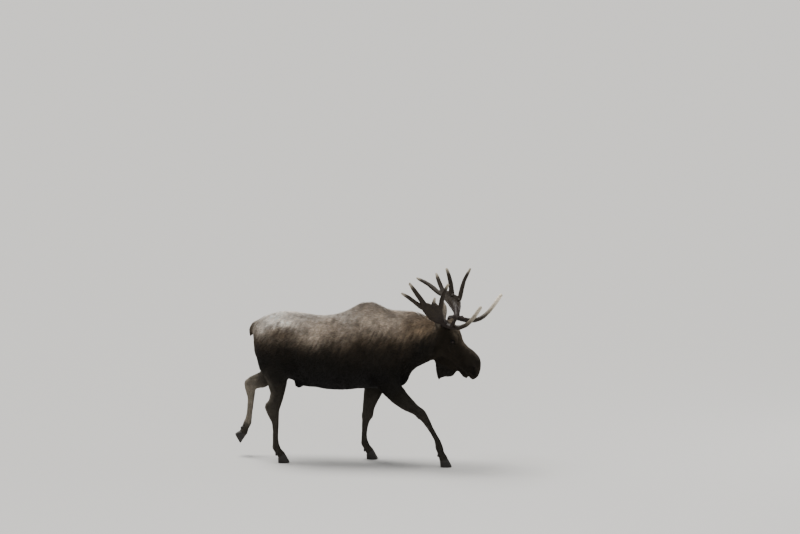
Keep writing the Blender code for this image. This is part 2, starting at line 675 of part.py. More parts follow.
def body_from(group, name, collection):
    members = set(group)
    order = sorted(members, key=lambda vertex: vertex.index)
    index_of = {vertex: index for index, vertex in enumerate(order)}
    faces = sorted({face for vertex in order for face in vertex.link_faces},
                   key=lambda face: face.index)
    mesh = bpy.data.meshes.new(name)
    mesh.from_pydata([vertex.co[:] for vertex in order], [],
                     [[index_of[vertex] for vertex in face.verts] for face in faces])
    obj = bpy.data.objects.new(name, mesh)
    collection.objects.link(obj)
    return obj


# ---------------------------------------------------------------- ears, eyes, antlers, feet
def ear_mesh(side):
    """A leaf-shaped cup, open forwards and outwards, with a rounded root."""
    sign = -1 if side == "right" else 1
    rows = [(*point, breadth, thickness) for point, breadth, thickness
            in zip(EAR_PATHS[side], EAR_BREADTHS, EAR_THICKNESSES)]
    dense = smooth_stations(rows, 2)
    opening = Vector((0.40, 0.90 * sign, 0.10))
    rings = []
    for index, row in enumerate(dense):
        share = index / (len(dense) - 1)
        before = Vector(dense[max(index - 1, 0)][:3])
        after = Vector(dense[min(index + 1, len(dense) - 1)][:3])
        tangent = (after - before).normalized()
        face = (opening - tangent * tangent.dot(opening)).normalized()
        wide = tangent.cross(face)
        cup = EAR_CUP_DEPTH * max(0.0, math.sin(math.pi * min(1.0, max(0.0, (share - 0.2) / 0.8))))
        breadth, thickness = row[3], row[4]
        ring = []
        for step in range(TUBE_POINTS):
            angle = 2 * math.pi * step / TUBE_POINTS
            across = math.cos(angle) * breadth
            depth = math.sin(angle) * thickness
            depth += cup * ((across / breadth) ** 2 - 0.5) * 1.4
            ring.append(Vector(row[:3]) + wide * across + face * depth)
        rings.append(ring)
    bm = bmesh.new()
    loft(bm, rings)
    return bm


def eye_mesh(sign):
    along, dorsal, sideways = EYE_SEAT
    bm = bmesh.new()
    bmesh.ops.create_uvsphere(bm, u_segments=12, v_segments=6, radius=EYE_RADIUS,
                              matrix=Matrix.Translation(in_head(along, dorsal, sign * sideways)))
    return bm


def swollen_copy(obj, name, amount, collection):
    """A cutter that stands off obj by the clearance on every side."""
    bm = bmesh.new()
    bm.from_mesh(obj.data)
    bmesh.ops.recalc_face_normals(bm, faces=bm.faces)
    bm.normal_update()
    moves = [vertex.normal * amount for vertex in bm.verts]
    for vertex, move in zip(bm.verts, moves):
        vertex.co += move
    return cutter_object(name, bm, collection)


def palm_grid(spec):
    """Rows of points from the fork out to the tine roots, dished like a shallow bowl."""
    rear = smooth_stations(spec["palm_rear"], 3)
    front = smooth_stations(spec["palm_front"], 3)
    crest = [tine[0] for tine in spec["tines"].values()]
    crest = smooth_stations(crest, 2)
    columns = len(crest)
    grid = []
    for index, (rear_point, front_point) in enumerate(zip(rear, front)):
        share = index / (len(rear) - 1)
        row = []
        for column in range(columns):
            across = column / (columns - 1)
            chord = Vector(rear_point).lerp(Vector(front_point), across)
            edge_chord = Vector(rear[-1]).lerp(Vector(front[-1]), across)
            row.append(chord + (Vector(crest[column]) - edge_chord) * share ** PALM_CREST_POWER)
        grid.append(row)
    return grid


def add_palm(bm, spec, side):
    sign = -1 if side == "right" else 1
    grid = palm_grid(spec)
    out = Vector((-0.10, 0.74 * sign, -0.60)).normalized()
    rows = len(grid)
    columns = len(grid[0])
    layers = []
    for offset in (-1, 1):
        layer = []
        for i, row in enumerate(grid):
            line = []
            for j, point in enumerate(row):
                bowl = PALM_BOWL * math.sin(math.pi * i / (rows - 1)) * math.sin(math.pi * (j + 0.5) / columns)
                line.append(bm.verts.new(point + out * (bowl + offset * PALM_HALF_THICKNESS)))
            layer.append(line)
        layers.append(layer)
    faces = []
    for layer in layers:
        for i in range(rows - 1):
            for j in range(columns - 1):
                faces.append(bm.faces.new((layer[i][j], layer[i + 1][j], layer[i + 1][j + 1], layer[i][j + 1])))
    under, over = layers
    border = [(i, 0) for i in range(rows)]
    border += [(rows - 1, j) for j in range(1, columns)]
    border += [(i, columns - 1) for i in range(rows - 2, -1, -1)]
    border += [(0, j) for j in range(columns - 2, 0, -1)]
    for (i, j), (k, m) in zip(border, border[1:] + border[:1]):
        faces.append(bm.faces.new((under[i][j], under[k][m], over[k][m], over[i][j])))
    bmesh.ops.recalc_face_normals(bm, faces=faces)


def tine_inside(spec, tine):
    """A tine's path with its root carried back into the palm."""
    root, middle, tip, radius = tine
    inward = (Vector(spec["fork"]) - Vector(root)).normalized()
    start = Vector(root) + inward * TINE_REACH
    return (tuple(start), root, middle, tip), (*(radius * share for share in TINE_SHAPE), TINE_TIP)


def build_antler(side, spec, collection):
    bm = bmesh.new()
    sign = -1 if side == "right" else 1
    out = (0.0, 0.78 * sign, -0.62)
    burr = Vector(spec["burr"])
    fork = Vector(spec["fork"])
    root = burr + (burr - fork).normalized() * 0.030
    middle = burr.lerp(fork, 0.35)
    tube(bm, (root, burr, middle, fork), (BEAM_RADIUS, BURR_RADIUS, BEAM_RADIUS, BEAM_RADIUS))
    palm_root = (Vector(spec["palm_rear"][1]) + Vector(spec["palm_front"][1])) / 2
    tube(bm, (middle, fork, palm_root), (BEAM_RADIUS, BEAM_RADIUS * 1.1, 0.016), flat=0.85, flat_axis=out)
    add_palm(bm, spec, side)
    for tine in spec["tines"].values():
        path, radii = tine_inside(spec, tine)
        tube(bm, path, radii, flat=TINE_FLATNESS, flat_axis=out)
    tube(bm, spec["brow"], BROW_RADII, flat=0.80, flat_axis=(0, 0.3 * sign, 1))
    tube(bm, spec["brow_spur"], BROW_SPUR_RADII)
    antler = mesh_object(f"{side}_antler", bm, collection)
    blend(antler, ANTLER_VOXEL, 4, ANTLER_TRIANGLES)
    return antler


def antler_cuts(spec):
    """The fork between palm and brow, and the root of each tine."""
    fork = Vector(spec["fork"])
    palm_root = (Vector(spec["palm_rear"][0]) + Vector(spec["palm_front"][0])) / 2
    palm_way = (Vector(spec["palm_rear"][1]) + Vector(spec["palm_front"][1])) / 2 - palm_root
    palm_centre = palm_root + palm_way * 0.22
    cuts = [(palm_centre, palm_way, 0.070, 0.045, (1, 0, 0))]
    brow_way = Vector(spec["brow"][1]) - Vector(spec["brow"][0])
    brow_centre = Vector(spec["brow"][0]).lerp(Vector(spec["brow"][1]), 0.36)
    cuts.append((brow_centre, brow_way, 0.040, 0.034, (0, 0, 1)))
    for root, middle, _, radius in spec["tines"].values():
        way = Vector(middle) - Vector(root)
        centre = Vector(root) + way.normalized() * TINE_CUT
        cuts.append((centre, way, radius * 1.8, radius * 1.5, fork - Vector(root)))
    return cuts


def antler_seeds(side, spec):
    palm = (Vector(spec["palm_rear"][2]) + Vector(spec["palm_front"][1])) / 2
    seeds = {
        f"{side}_antler_beam": (Vector(spec["burr"]) + Vector(spec["fork"])) / 2,
        f"{side}_antler_palm": palm,
        f"{side}_antler_brow": Vector(spec["brow"][2]),
    }
    for name, (root, middle, tip, _) in spec["tines"].items():
        seeds[f"{side}_antler_{name}"] = Vector(root).lerp(Vector(tip), 0.62)
    return seeds


def foot_frame(foot):
    """Middle of the coronet, way down the pastern, and the sole's forward and up ways."""
    coronet, down = leg_point(foot, len(foot["legs"]) + CORONET)
    turn = Matrix.Rotation(foot["pitch"], 3, "Y")
    return coronet, down, turn @ Vector((1, 0, 0)), turn @ Vector((0, 0, 1))


def digit_outline(share, inner_sign, length_ahead, length_behind, half_width):
    """A point of a digit's outline: round heel, flat inner side, narrowing toe."""
    angle = 2 * math.pi * share
    lengthwise = math.cos(angle)
    across = math.sin(angle) * (1.0 - 0.42 * max(lengthwise, 0.0) ** 1.5)
    if across * inner_sign > 0:
        across *= 0.80
    reach = length_ahead if lengthwise > 0 else length_behind
    return lengthwise * reach, across * half_width


def build_hooves(name, foot, collection):
    """Two digits side by side, flat below, closing in to the coronet above."""
    coronet, down, forward, up = foot_frame(foot)
    left = Vector((0, 1, 0))
    top_forward = down.cross(left).normalized()
    depth = coronet.z if foot["pitch"] == 0.0 else HOOF["sole_depth"]
    sole_middle = coronet - up * depth + forward * HOOF["toe"] * 0.10
    made = []
    for digit, sign in (("outer", foot["side"]), ("inner", -foot["side"])):
        bm = bmesh.new()
        rings = []
        for share in HOOF_SHARES:
            ring = []
            for index in range(TUBE_POINTS):
                turn = index / TUBE_POINTS
                ahead, across = digit_outline(turn, -sign, HOOF["toe"], HOOF["heel"], HOOF["sole_width"])
                low = sole_middle + forward * ahead + left * (across + sign * HOOF["spread"])
                ahead, across = digit_outline(turn, -sign, HOOF["top_reach"], HOOF["top_reach"],
                                              HOOF["top_width"])
                high = coronet + down * CUT + top_forward * ahead
                high += left * (across + sign * HOOF["spread"] * 0.93)
                bulge = math.sin(math.pi * share) * 0.0025
                ring.append(low.lerp(high, share) + left * bulge * math.copysign(1.0, across))
            rings.append(ring)
        loft(bm, rings)
        made.append(mesh_object(f"{name}_hoof_{digit}", bm, collection))
    return made


def build_dewclaws(name, foot, collection):
    """The two small rear claws below the fetlock."""
    _, down, _, _ = foot_frame(foot)
    left = Vector((0, 1, 0))
    root_row = Vector(leg_rows(foot)[CORONET - 2][:3])
    back = left.cross(down).normalized()
    made = []
    for digit, sign in (("outer", foot["side"]), ("inner", -foot["side"])):
        radius = DEWCLAW["radius"]
        root = root_row + back * 0.018 + left * sign * DEWCLAW["spread"]
        tip = root + (down * 0.80 + back * 0.60) * DEWCLAW["length"] + left * sign * 0.004
        middle = root.lerp(tip, 0.55) + back * 0.003
        bm = bmesh.new()
        tube(bm, (root, middle, tip), (radius * 0.8, radius, radius * 0.40), steps=1,
             flat_axis=(0, 1, 0), flat=0.85, count=8)
        made.append(mesh_object(f"{name}_dewclaw_{digit}", bm, collection))
    return made


# ---------------------------------------------------------------- assembly
def flesh_seeds():
    seeds = {
        "trunk": (-0.35, 0.0, 1.25),
        "neck": (0.70, -0.03, 1.35),
        "head": in_head(0.30, -0.03),
        "lower_jaw": in_head(0.36, -0.19),
        "bell": (0.89, -0.05, 1.02),
        "tail": (-1.235, 0.0, 1.42),
    }
    for name, foot in FEET.items():
        rows = [Vector(row[:3]) for row in leg_rows(foot)]
        joints = (foot["cuts"][0] - 2, *foot["cuts"], len(rows) - 1)
        parts = ("upper_arm", "forearm") if "fore" in name else ("thigh", "gaskin")
        for part, upper, lower in zip((*parts, "cannon", "pastern", "stub"), joints, joints[1:]):
            seeds[f"{name}_{part}"] = (rows[upper] + rows[lower]) / 2
    return seeds


def assign(objects, material):
    for obj in objects:
        obj.data.materials.clear()
        obj.data.materials.append(material)


def centre_on_floor(objects):
    """Move the whole animal so that its box stands centred on the origin."""
    points = [obj.matrix_world @ vertex.co for obj in objects for vertex in obj.data.vertices]
    low = Vector(map(min, zip(*points)))
    high = Vector(map(max, zip(*points)))
    shift = Vector((-(low.x + high.x) / 2, -(low.y + high.y) / 2, -low.z))
    moved = set()
    for obj in objects:
        if obj.data.name not in moved:
            obj.data.transform(Matrix.Translation(shift))
            moved.add(obj.data.name)


def main():
    empty_scene()
    moose = new_collection("moose")
    cutters = new_collection("cutters")
    body_hide = principled("body_hide", (0.045, 0.036, 0.027), 0.85)
    leg_hide = principled("leg_hide", (0.110, 0.098, 0.082), 0.85)
    antler_bone = principled("antler_bone", (0.160, 0.120, 0.080), 0.60)
    hoof_horn = principled("hoof_horn", (0.030, 0.027, 0.024), 0.45)
    eye_dark = principled("eye_dark", (0.012, 0.008, 0.006), 0.08)

    horn = []
    for name, foot in FEET.items():
        horn += build_hooves(name, foot, moose)
        horn += build_dewclaws(name, foot, moose)
    ears = [mesh_object(f"{side}_ear", ear_mesh(side), moose) for side in ("right", "left")]
    eyes = [mesh_object(f"{side}_eye", eye_mesh(sign), moose) for side, sign in (("right", -1), ("left", 1))]
    antlers = {side: build_antler(side, spec, moose) for side, spec in ANTLERS.items()}

    flesh = build_flesh(moose)
    claws = [obj for obj in horn if "dewclaw" in obj.name]
    for obj in claws + ears + eyes + list(antlers.values()):
        subtract(flesh, swollen_copy(obj, f"{obj.name}_seat", SEAT, cutters))
    bm = bmesh.new()
    for cut in body_cuts():
        add_slab(bm, *cut)
    subtract(flesh, cutter_object("body_partings", bm, cutters), overlapping=True)
    nodes = separate(flesh, flesh_seeds(), moose)
    for name in FEET:
        bpy.data.objects.remove(nodes.pop(f"{name}_stub"), do_unlink=True)

    bone = []
    for side, spec in ANTLERS.items():
        bm = bmesh.new()
        for cut in antler_cuts(spec):
            add_slab(bm, *cut)
        subtract(antlers[side], cutter_object(f"{side}_antler_partings", bm, cutters), overlapping=True)
        bone += separate(antlers[side], antler_seeds(side, spec), moose).values()

    legs = [obj for name, obj in nodes.items() if "cannon" in name or "pastern" in name]
    body = [obj for obj in nodes.values() if obj not in legs]
    assign(body + ears, body_hide)
    assign(legs, leg_hide)
    assign(horn, hoof_horn)
    assign(eyes, eye_dark)
    assign(bone, antler_bone)
    for cutter in list(cutters.objects):
        bpy.data.objects.remove(cutter, do_unlink=True)
    centre_on_floor(list(moose.objects))


main()
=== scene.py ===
import math

import bmesh
import bpy
import numpy as np
from mathutils import Matrix, Vector
from mathutils.bvhtree import BVHTree


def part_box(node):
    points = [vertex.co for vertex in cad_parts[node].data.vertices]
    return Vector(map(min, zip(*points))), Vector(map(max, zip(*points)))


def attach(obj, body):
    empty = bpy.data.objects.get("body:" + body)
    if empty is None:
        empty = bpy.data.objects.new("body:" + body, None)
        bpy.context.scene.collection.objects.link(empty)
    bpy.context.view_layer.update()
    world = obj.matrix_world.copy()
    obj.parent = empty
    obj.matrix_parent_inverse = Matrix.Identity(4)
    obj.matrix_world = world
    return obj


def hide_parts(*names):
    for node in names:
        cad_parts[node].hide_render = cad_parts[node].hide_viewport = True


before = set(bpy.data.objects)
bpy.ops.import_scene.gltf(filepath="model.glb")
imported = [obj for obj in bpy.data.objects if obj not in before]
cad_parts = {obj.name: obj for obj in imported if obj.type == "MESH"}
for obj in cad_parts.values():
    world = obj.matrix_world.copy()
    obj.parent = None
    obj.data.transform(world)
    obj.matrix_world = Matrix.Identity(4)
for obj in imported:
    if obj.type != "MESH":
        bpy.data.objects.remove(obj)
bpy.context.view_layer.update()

SEED = 41

# ---------------------------------------------------------------- the head's frame, from the two eyes
EYE_RADIUS = 0.0200
EYE_SEAT = (0.208, -0.020)          # of each eye: along the face from the poll, and dorsal
HEAD_PITCH, HEAD_YAW, HEAD_ROLL = math.radians(57.5), math.radians(-8.0), math.radians(1.0)
DRAWN_POLL = (0.900, -0.050, 1.557)     # the poll in the part's own drawing frame


def middle(node):
    low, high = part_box(node)
    return np.array((low + high) / 2)


def head_axes():
    yaw = Matrix.Rotation(HEAD_YAW, 3, "Z")
    along = yaw @ Vector((math.cos(HEAD_PITCH), 0.0, -math.sin(HEAD_PITCH)))
    roll = Matrix.Rotation(HEAD_ROLL, 3, along)
    dorsal = roll @ yaw @ Vector((math.sin(HEAD_PITCH), 0.0, math.cos(HEAD_PITCH)))
    return np.array(along), np.array(dorsal), np.array(dorsal.cross(along))


ALONG, DORSAL, LEFT = head_axes()
EYES = {"right": middle("right_eye"), "left": middle("left_eye")}
POLL = (EYES["right"] + EYES["left"]) / 2 - ALONG * EYE_SEAT[0] - DORSAL * EYE_SEAT[1]
DESIGN = POLL - np.array(DRAWN_POLL)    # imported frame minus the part's own drawing frame


def in_head(along, dorsal, sideways):
    return POLL + ALONG * along + DORSAL * dorsal + LEFT * sideways


def on_face(path, side):
    """A path on the left of the head, or its mirror image on the right."""
    return [in_head(along, dorsal, side * sideways) for along, dorsal, sideways in path]


def head_coords(points):
    away = points - POLL
    return away @ ALONG, away @ DORSAL, away @ LEFT


# ---------------------------------------------------------------- small numeric tools
def unit(vectors):
    return vectors / np.maximum(np.linalg.norm(vectors, axis=-1, keepdims=True), 1e-12)


def ease(value, low, high):
    t = np.clip((value - low) / (high - low), 0.0, 1.0)
    return t * t * (3 - 2 * t)


def gap_from(points, spot):
    return np.linalg.norm(points - spot, axis=1)


def gap_to(points, spots):
    """How far each point is from the nearest of the spots."""
    gap = np.full(len(points), np.inf)
    for spot in spots:
        gap = np.minimum(gap, gap_from(points, spot))
    return gap


def lattice_value(cell, seed):
    """A fixed pseudo-random number in 0..1 for each whole-number cell."""
    mixed = (cell[..., 0].astype(np.uint32) * np.uint32(73856093)
             ^ cell[..., 1].astype(np.uint32) * np.uint32(19349663)
             ^ cell[..., 2].astype(np.uint32) * np.uint32(83492791)
             ^ np.uint32(seed * 2654435761 % 4294967296))
    mixed = (mixed ^ (mixed >> np.uint32(13))) * np.uint32(1274126177)
    mixed = (mixed ^ (mixed >> np.uint32(16))) * np.uint32(2246822519)
    return ((mixed >> np.uint32(8)) & np.uint32(0xFFFF)).astype(float) / 65535.0


def value_noise(points, size, seed):
    """Smooth noise in -1..1 whose lumps are about size across."""
    scaled = points / size
    cell = np.floor(scaled).astype(np.int64)
    part = scaled - cell
    part = part * part * (3 - 2 * part)
    total = np.zeros(len(points))
    for corner in np.ndindex(2, 2, 2):
        weight = np.where(corner, part, 1 - part).prod(axis=1)
        total += weight * lattice_value(cell + np.array(corner), seed)
    return total * 2 - 1


# ---------------------------------------------------------------- mesh tools
def read_out(items, attribute, width, kind=float):
    values = np.empty(len(items) * width, kind)
    items.foreach_get(attribute, values)
    return values.reshape(-1, width)


def points_of(mesh):
    return read_out(mesh.vertices, "co", 3)


def triangles_of(mesh):
    mesh.calc_loop_triangles()
    return read_out(mesh.loop_triangles, "vertices", 3, np.int32)


def edges_of(mesh):
    return read_out(mesh.edges, "vertices", 2, np.int32)


def normals_of(mesh):
    return read_out(mesh.vertex_normals, "vector", 3)


def set_points(mesh, points):
    mesh.vertices.foreach_set("co", points.astype(np.float32).ravel())
    mesh.update()


def spread(values, edges, rounds, weight=0.5):
    """Vertex values averaged with their neighbours', again and again."""
    values = np.array(values, dtype=float)
    flat = values.reshape(len(values), -1)
    count = np.bincount(edges.ravel(), minlength=len(values)).astype(float)
    count[count == 0] = 1
    for _ in range(rounds):
        for column in range(flat.shape[1]):
            source = flat[:, column]
            total = (np.bincount(edges[:, 0], source[edges[:, 1]], len(source))
                     + np.bincount(edges[:, 1], source[edges[:, 0]], len(source)))
            flat[:, column] = source + weight * (total / count - source)
    return flat.reshape(values.shape)


def new_object(name, mesh):
    obj = bpy.data.objects.new(name, mesh)
    bpy.context.scene.collection.objects.link(obj)
    return obj


def made_by(maker, name, **sizes):
    """A new object of one of bmesh's own forms."""
    bm = bmesh.new()
    maker(bm, **sizes)
    mesh = bpy.data.meshes.new(name)
    bm.to_mesh(mesh)
    bm.free()
    return new_object(name, mesh)


def joined(names, swell=0.0):
    """Points and faces of several CAD nodes, each swollen a little, and the node of each face."""
    points, faces, owner = [], [], []
    for index, name in enumerate(names):
        bm = bmesh.new()
        bm.from_mesh(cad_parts[name].data)
        bmesh.ops.remove_doubles(bm, verts=bm.verts, dist=1e-6)
        bm.normal_update()
        bm.verts.index_update()
        start = len(points)
        points += [vertex.co + vertex.normal * swell for vertex in bm.verts]
        faces += [[start + vertex.index for vertex in face.verts] for face in bm.faces]
        owner += [index] * len(bm.faces)
        bm.free()
    return points, faces, np.array(owner)


def applied(obj):
    """Puts the result of obj's modifiers into its own mesh."""
    depsgraph = bpy.context.evaluated_depsgraph_get()
    mesh = bpy.data.meshes.new_from_object(obj.evaluated_get(depsgraph))
    obj.modifiers.clear()
    obj.vertex_groups.clear()
    obj.data = mesh


def remeshed(name, names, voxel, swell):
    """One closed mesh round several CAD nodes."""
    points, faces, _ = joined(names, swell)
    mesh = bpy.data.meshes.new(name)
    mesh.from_pydata(points, [], faces)
    obj = new_object(name, mesh)
    remesh = obj.modifiers.new("whole", "REMESH")
    remesh.mode = "VOXEL"
    remesh.voxel_size = voxel
    applied(obj)
    return obj


def shade_smooth(mesh):
    mesh.polygons.foreach_set("use_smooth", np.ones(len(mesh.polygons), bool))


# ---------------------------------------------------------------- node names
NODES = sorted(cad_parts)
HORNY = ("antler", "hoof", "dewclaw", "eye")
FLESH = [name for name in NODES if not any(word in name for word in HORNY)]
SIDES = {"right": -1.0, "left": 1.0}
LIMBS = ("right_fore", "left_fore", "right_hind", "left_hind")


def at(x, y, z):
    """A place given in the part's own drawing frame."""
    return DESIGN + np.array((x, y, z))


# ---------------------------------------------------------------- the skin's first form
FULL_VOXEL = 0.0065
SKIN_VOXEL = FULL_VOXEL
SKIN_SWELL = 0.0012                 # the CAD nodes overlap by this before they are made one
SKIN_TRIANGLES = 176_000
BROAD_ROUNDS, FINE_ROUNDS = 110, 12     # of smoothing, at the full fineness
# Rounds of smoothing of what is worked out for each vertex of the skin.
ROUNDS = {"broad": 25, "fine": 6, "depth": 30, "lie": 34, "size": 60, "trimmed": 6, "stand": 20}
# Where the skin is made finer, in the head's frame on each side: nostril and lips. Round the eyes it is
# made finer again within each of the last reaches.
FINE_SPOTS = ((0.60, -0.02, 0.06), (0.45, -0.13, 0.05), (0.52, -0.13, 0.05), (0.59, -0.13, 0.05))
FINE_REACH = 0.062
EYE_REACHES = (0.042, 0.030)
# By node: how deep the skin lies under the coat's tips, and how long and how broad the tufts are.
COAT = {
    "trunk": (0.0125, 0.034, 0.0044), "neck": (0.0130, 0.040, 0.0045), "head": (0.0035, 0.0125, 0.0027),
    "lower_jaw": (0.0045, 0.0150, 0.0031), "bell": (0.0100, 0.058, 0.0050), "tail": (0.0090, 0.032, 0.0048),
    "ear": (0.0012, 0.0140, 0.0028), "upper_arm": (0.0095, 0.027, 0.0046),
    "thigh": (0.0100, 0.029, 0.0047), "forearm": (0.0055, 0.0165, 0.0038),
    "gaskin": (0.0055, 0.0165, 0.0038), "cannon": (0.0030, 0.0125, 0.0034),
    "pastern": (0.0030, 0.0140, 0.0034),
}
DEPTHS, LENGTHS, WIDTHS = ({node: row[column] for node, row in COAT.items()} for column in range(3))
# How much of the broad smoothing each node gets.
BROADNESS = {"trunk": 1.0, "neck": 0.8, "upper_arm": 0.55, "thigh": 0.65, "forearm": 0.12, "gaskin": 0.12}
# How much of the fine smoothing, where it isn't a half.
FINENESS = {"ear": 0.16, "head": 0.34, "lower_jaw": 0.34}
# How freely faces may be merged, where it isn't 1.
FREEDOM = {"head": 0.30, "lower_jaw": 0.35, "ear": 0.25, "cannon": 0.55, "pastern": 0.50, "bell": 0.6}
EYE_KEPT = 0.040                    # none are merged this near an eye
# Beyond these places of the face they are merged less freely, by this share.
MUZZLE_KEPT = {"along": 0.40, "ahead": 0.9, "below": 0.06, "share": 0.4}
SHEATH = (-0.720, 0.0, 0.825)           # the broad smoothing spares the small form here,
SHEATH_SPARED = (0.07, 0.16)            # wholly within the first distance and not beyond the second
PATH_STEP, PATH_MARGIN = 0.006, 0.03    # between the spots of a sculpted path, and round it


def by_node(labels, table, default=0.0):
    """One value of the table per label, found by the ending of the node's name."""
    values = np.full(len(FLESH), default)
    for index, name in enumerate(FLESH):
        for ending, value in table.items():
            if name.endswith(ending):
                values[index] = value
    return values[labels]


def nearest_nodes(points):
    """The index in FLESH of the CAD node nearest to each point."""
    corners, faces, owner = joined(FLESH)
    tree = BVHTree.FromPolygons(corners, faces)
    return np.array([owner[tree.find_nearest(Vector(point))[2]] for point in points])


def refine(obj, centres, reach):
    """Halves the edges within reach of any of the centres."""
    near = gap_to(points_of(obj.data), centres) < reach
    bm = bmesh.new()
    bm.from_mesh(obj.data)
    chosen = [edge for edge in bm.edges if all(near[vertex.index] for vertex in edge.verts)]
    bmesh.ops.subdivide_edges(bm, edges=chosen, cuts=1, use_grid_fill=True, smooth=0.0)
    bm.to_mesh(obj.data)
    bm.free()


def dense_path(path, spacing):
    path = np.array(path)
    made = [path[:1]]
    for start, end in zip(path, path[1:]):
        steps = max(1, math.ceil(np.linalg.norm(end - start) / spacing))
        made.append(start + (end - start) * (np.arange(1, steps + 1) / steps)[:, None])
    return np.concatenate(made)


def sculpt(points, normals, path, radius, height):
    """Raises (or sinks) the surface along a path laid on it."""
    path = dense_path(path, min(PATH_STEP, radius / 2))
    low, high = path.min(0) - 3 * radius - PATH_MARGIN, path.max(0) + 3 * radius + PATH_MARGIN
    near = np.flatnonzero(((points > low) & (points < high)).all(1))
    if not len(near):
        return
    surface = points[near]
    laid = [surface[gap_from(surface, spot).argmin()] for spot in path]
    points[near] += normals[near] * (height * np.exp(-(gap_to(surface, laid) / radius) ** 2))[:, None]


# Forms under the hide on each side of the body: places along and up, then sideways, reach and height.
BODY_STROKES = (
    (((0.36, 1.62), (0.44, 1.42), (0.47, 1.22), (0.43, 1.08)), 0.20, 0.045, 0.009),  # front of the shoulder
    (((0.12, 1.62), (0.24, 1.42), (0.33, 1.20)), 0.22, 0.034, 0.007),  # spine of the shoulder blade
    (((0.01, 1.54), (0.04, 1.30), (-0.01, 1.06)), 0.25, 0.052, -0.011),  # hollow behind the shoulder
    (((0.05, 1.22), (0.16, 1.06), (0.26, 0.96)), 0.24, 0.030, -0.006),  # under the triceps
    (((-0.60, 1.50), (-0.66, 1.42)), 0.22, 0.085, -0.014),  # hollow of the flank
    (((-0.72, 1.545), (-0.76, 1.50)), 0.17, 0.055, 0.012),  # hip bone
    (((-0.70, 1.26), (-0.63, 1.10), (-0.60, 0.94)), 0.24, 0.030, 0.010),  # fold of skin to the stifle
    (((-0.77, 1.22), (-0.71, 1.05)), 0.24, 0.030, -0.007),  # hollow behind that fold
    (((-1.00, 1.50), (-1.06, 1.28), (-1.05, 1.05)), 0.20, 0.034, -0.008),  # parting of the haunch muscles
    (((-1.17, 1.42), (-1.18, 1.38)), 0.08, 0.045, 0.008),  # seat bone
    (((0.80, 1.30), (0.64, 1.24), (0.48, 1.16)), 0.12, 0.030, -0.009),  # groove of the neck
    (((0.74, 1.46), (0.58, 1.42), (0.46, 1.40)), 0.14, 0.050, 0.006),  # neck muscle
)
RIBS = {"first": -0.07, "last": -0.44, "count": 7, "reach": 0.016, "height": 0.0030}
RIB_PATH = ((0.0, 0.24, 1.45), (-0.03, 0.27, 1.22), (-0.01, 0.22, 0.98))    # along, sideways, up
# Bones and sinews of the legs: reach and height of each form, then its path on each leg, along and up.
LEG_FORMS = {
    "fore": ((0.030, 0.006), (0.022, 0.006),  # front of the knee, bone behind the knee
             (0.0090, -0.0045), (0.018, 0.005)),  # groove beside the sinew, back of the fetlock
    "hind": ((0.020, 0.008), (0.014, -0.007),  # point of the hock, hollow in front of the hamstring
             (0.0090, -0.0045), (0.018, 0.005)),
}
LEG_PATHS = {
    "right_fore": (((0.640, 0.610), (0.662, 0.560)), ((0.600, 0.560), (0.606, 0.530)),
                   ((0.690, 0.470), (0.760, 0.340), (0.800, 0.260)), ((0.800, 0.215), (0.815, 0.190))),
    "left_fore": (((0.045, 0.530), (0.050, 0.470)), ((-0.058, 0.500), (-0.058, 0.470)),
                  ((-0.040, 0.400), (-0.048, 0.320), (-0.046, 0.245)), ((-0.068, 0.180), (-0.062, 0.160))),
    "right_hind": (((-1.062, 0.640), (-1.068, 0.610)), ((-1.010, 0.760), (-1.030, 0.690)),
                   ((-0.972, 0.480), (-0.970, 0.360), (-0.968, 0.250)), ((-0.990, 0.175), (-0.982, 0.150))),
    "left_hind": (((-1.350, 0.830), (-1.352, 0.810)), ((-1.215, 0.870), (-1.265, 0.855)),
                  ((-1.304, 0.700), (-1.302, 0.580), (-1.312, 0.470)), ((-1.364, 0.390), (-1.370, 0.360))),
}
LEG_SIDEWAYS = {"right_fore": -0.180, "left_fore": 0.170, "right_hind": -0.180, "left_hind": 0.155}
LEG_HALF = 0.028                        # from a leg's middle to the paths on its two sides
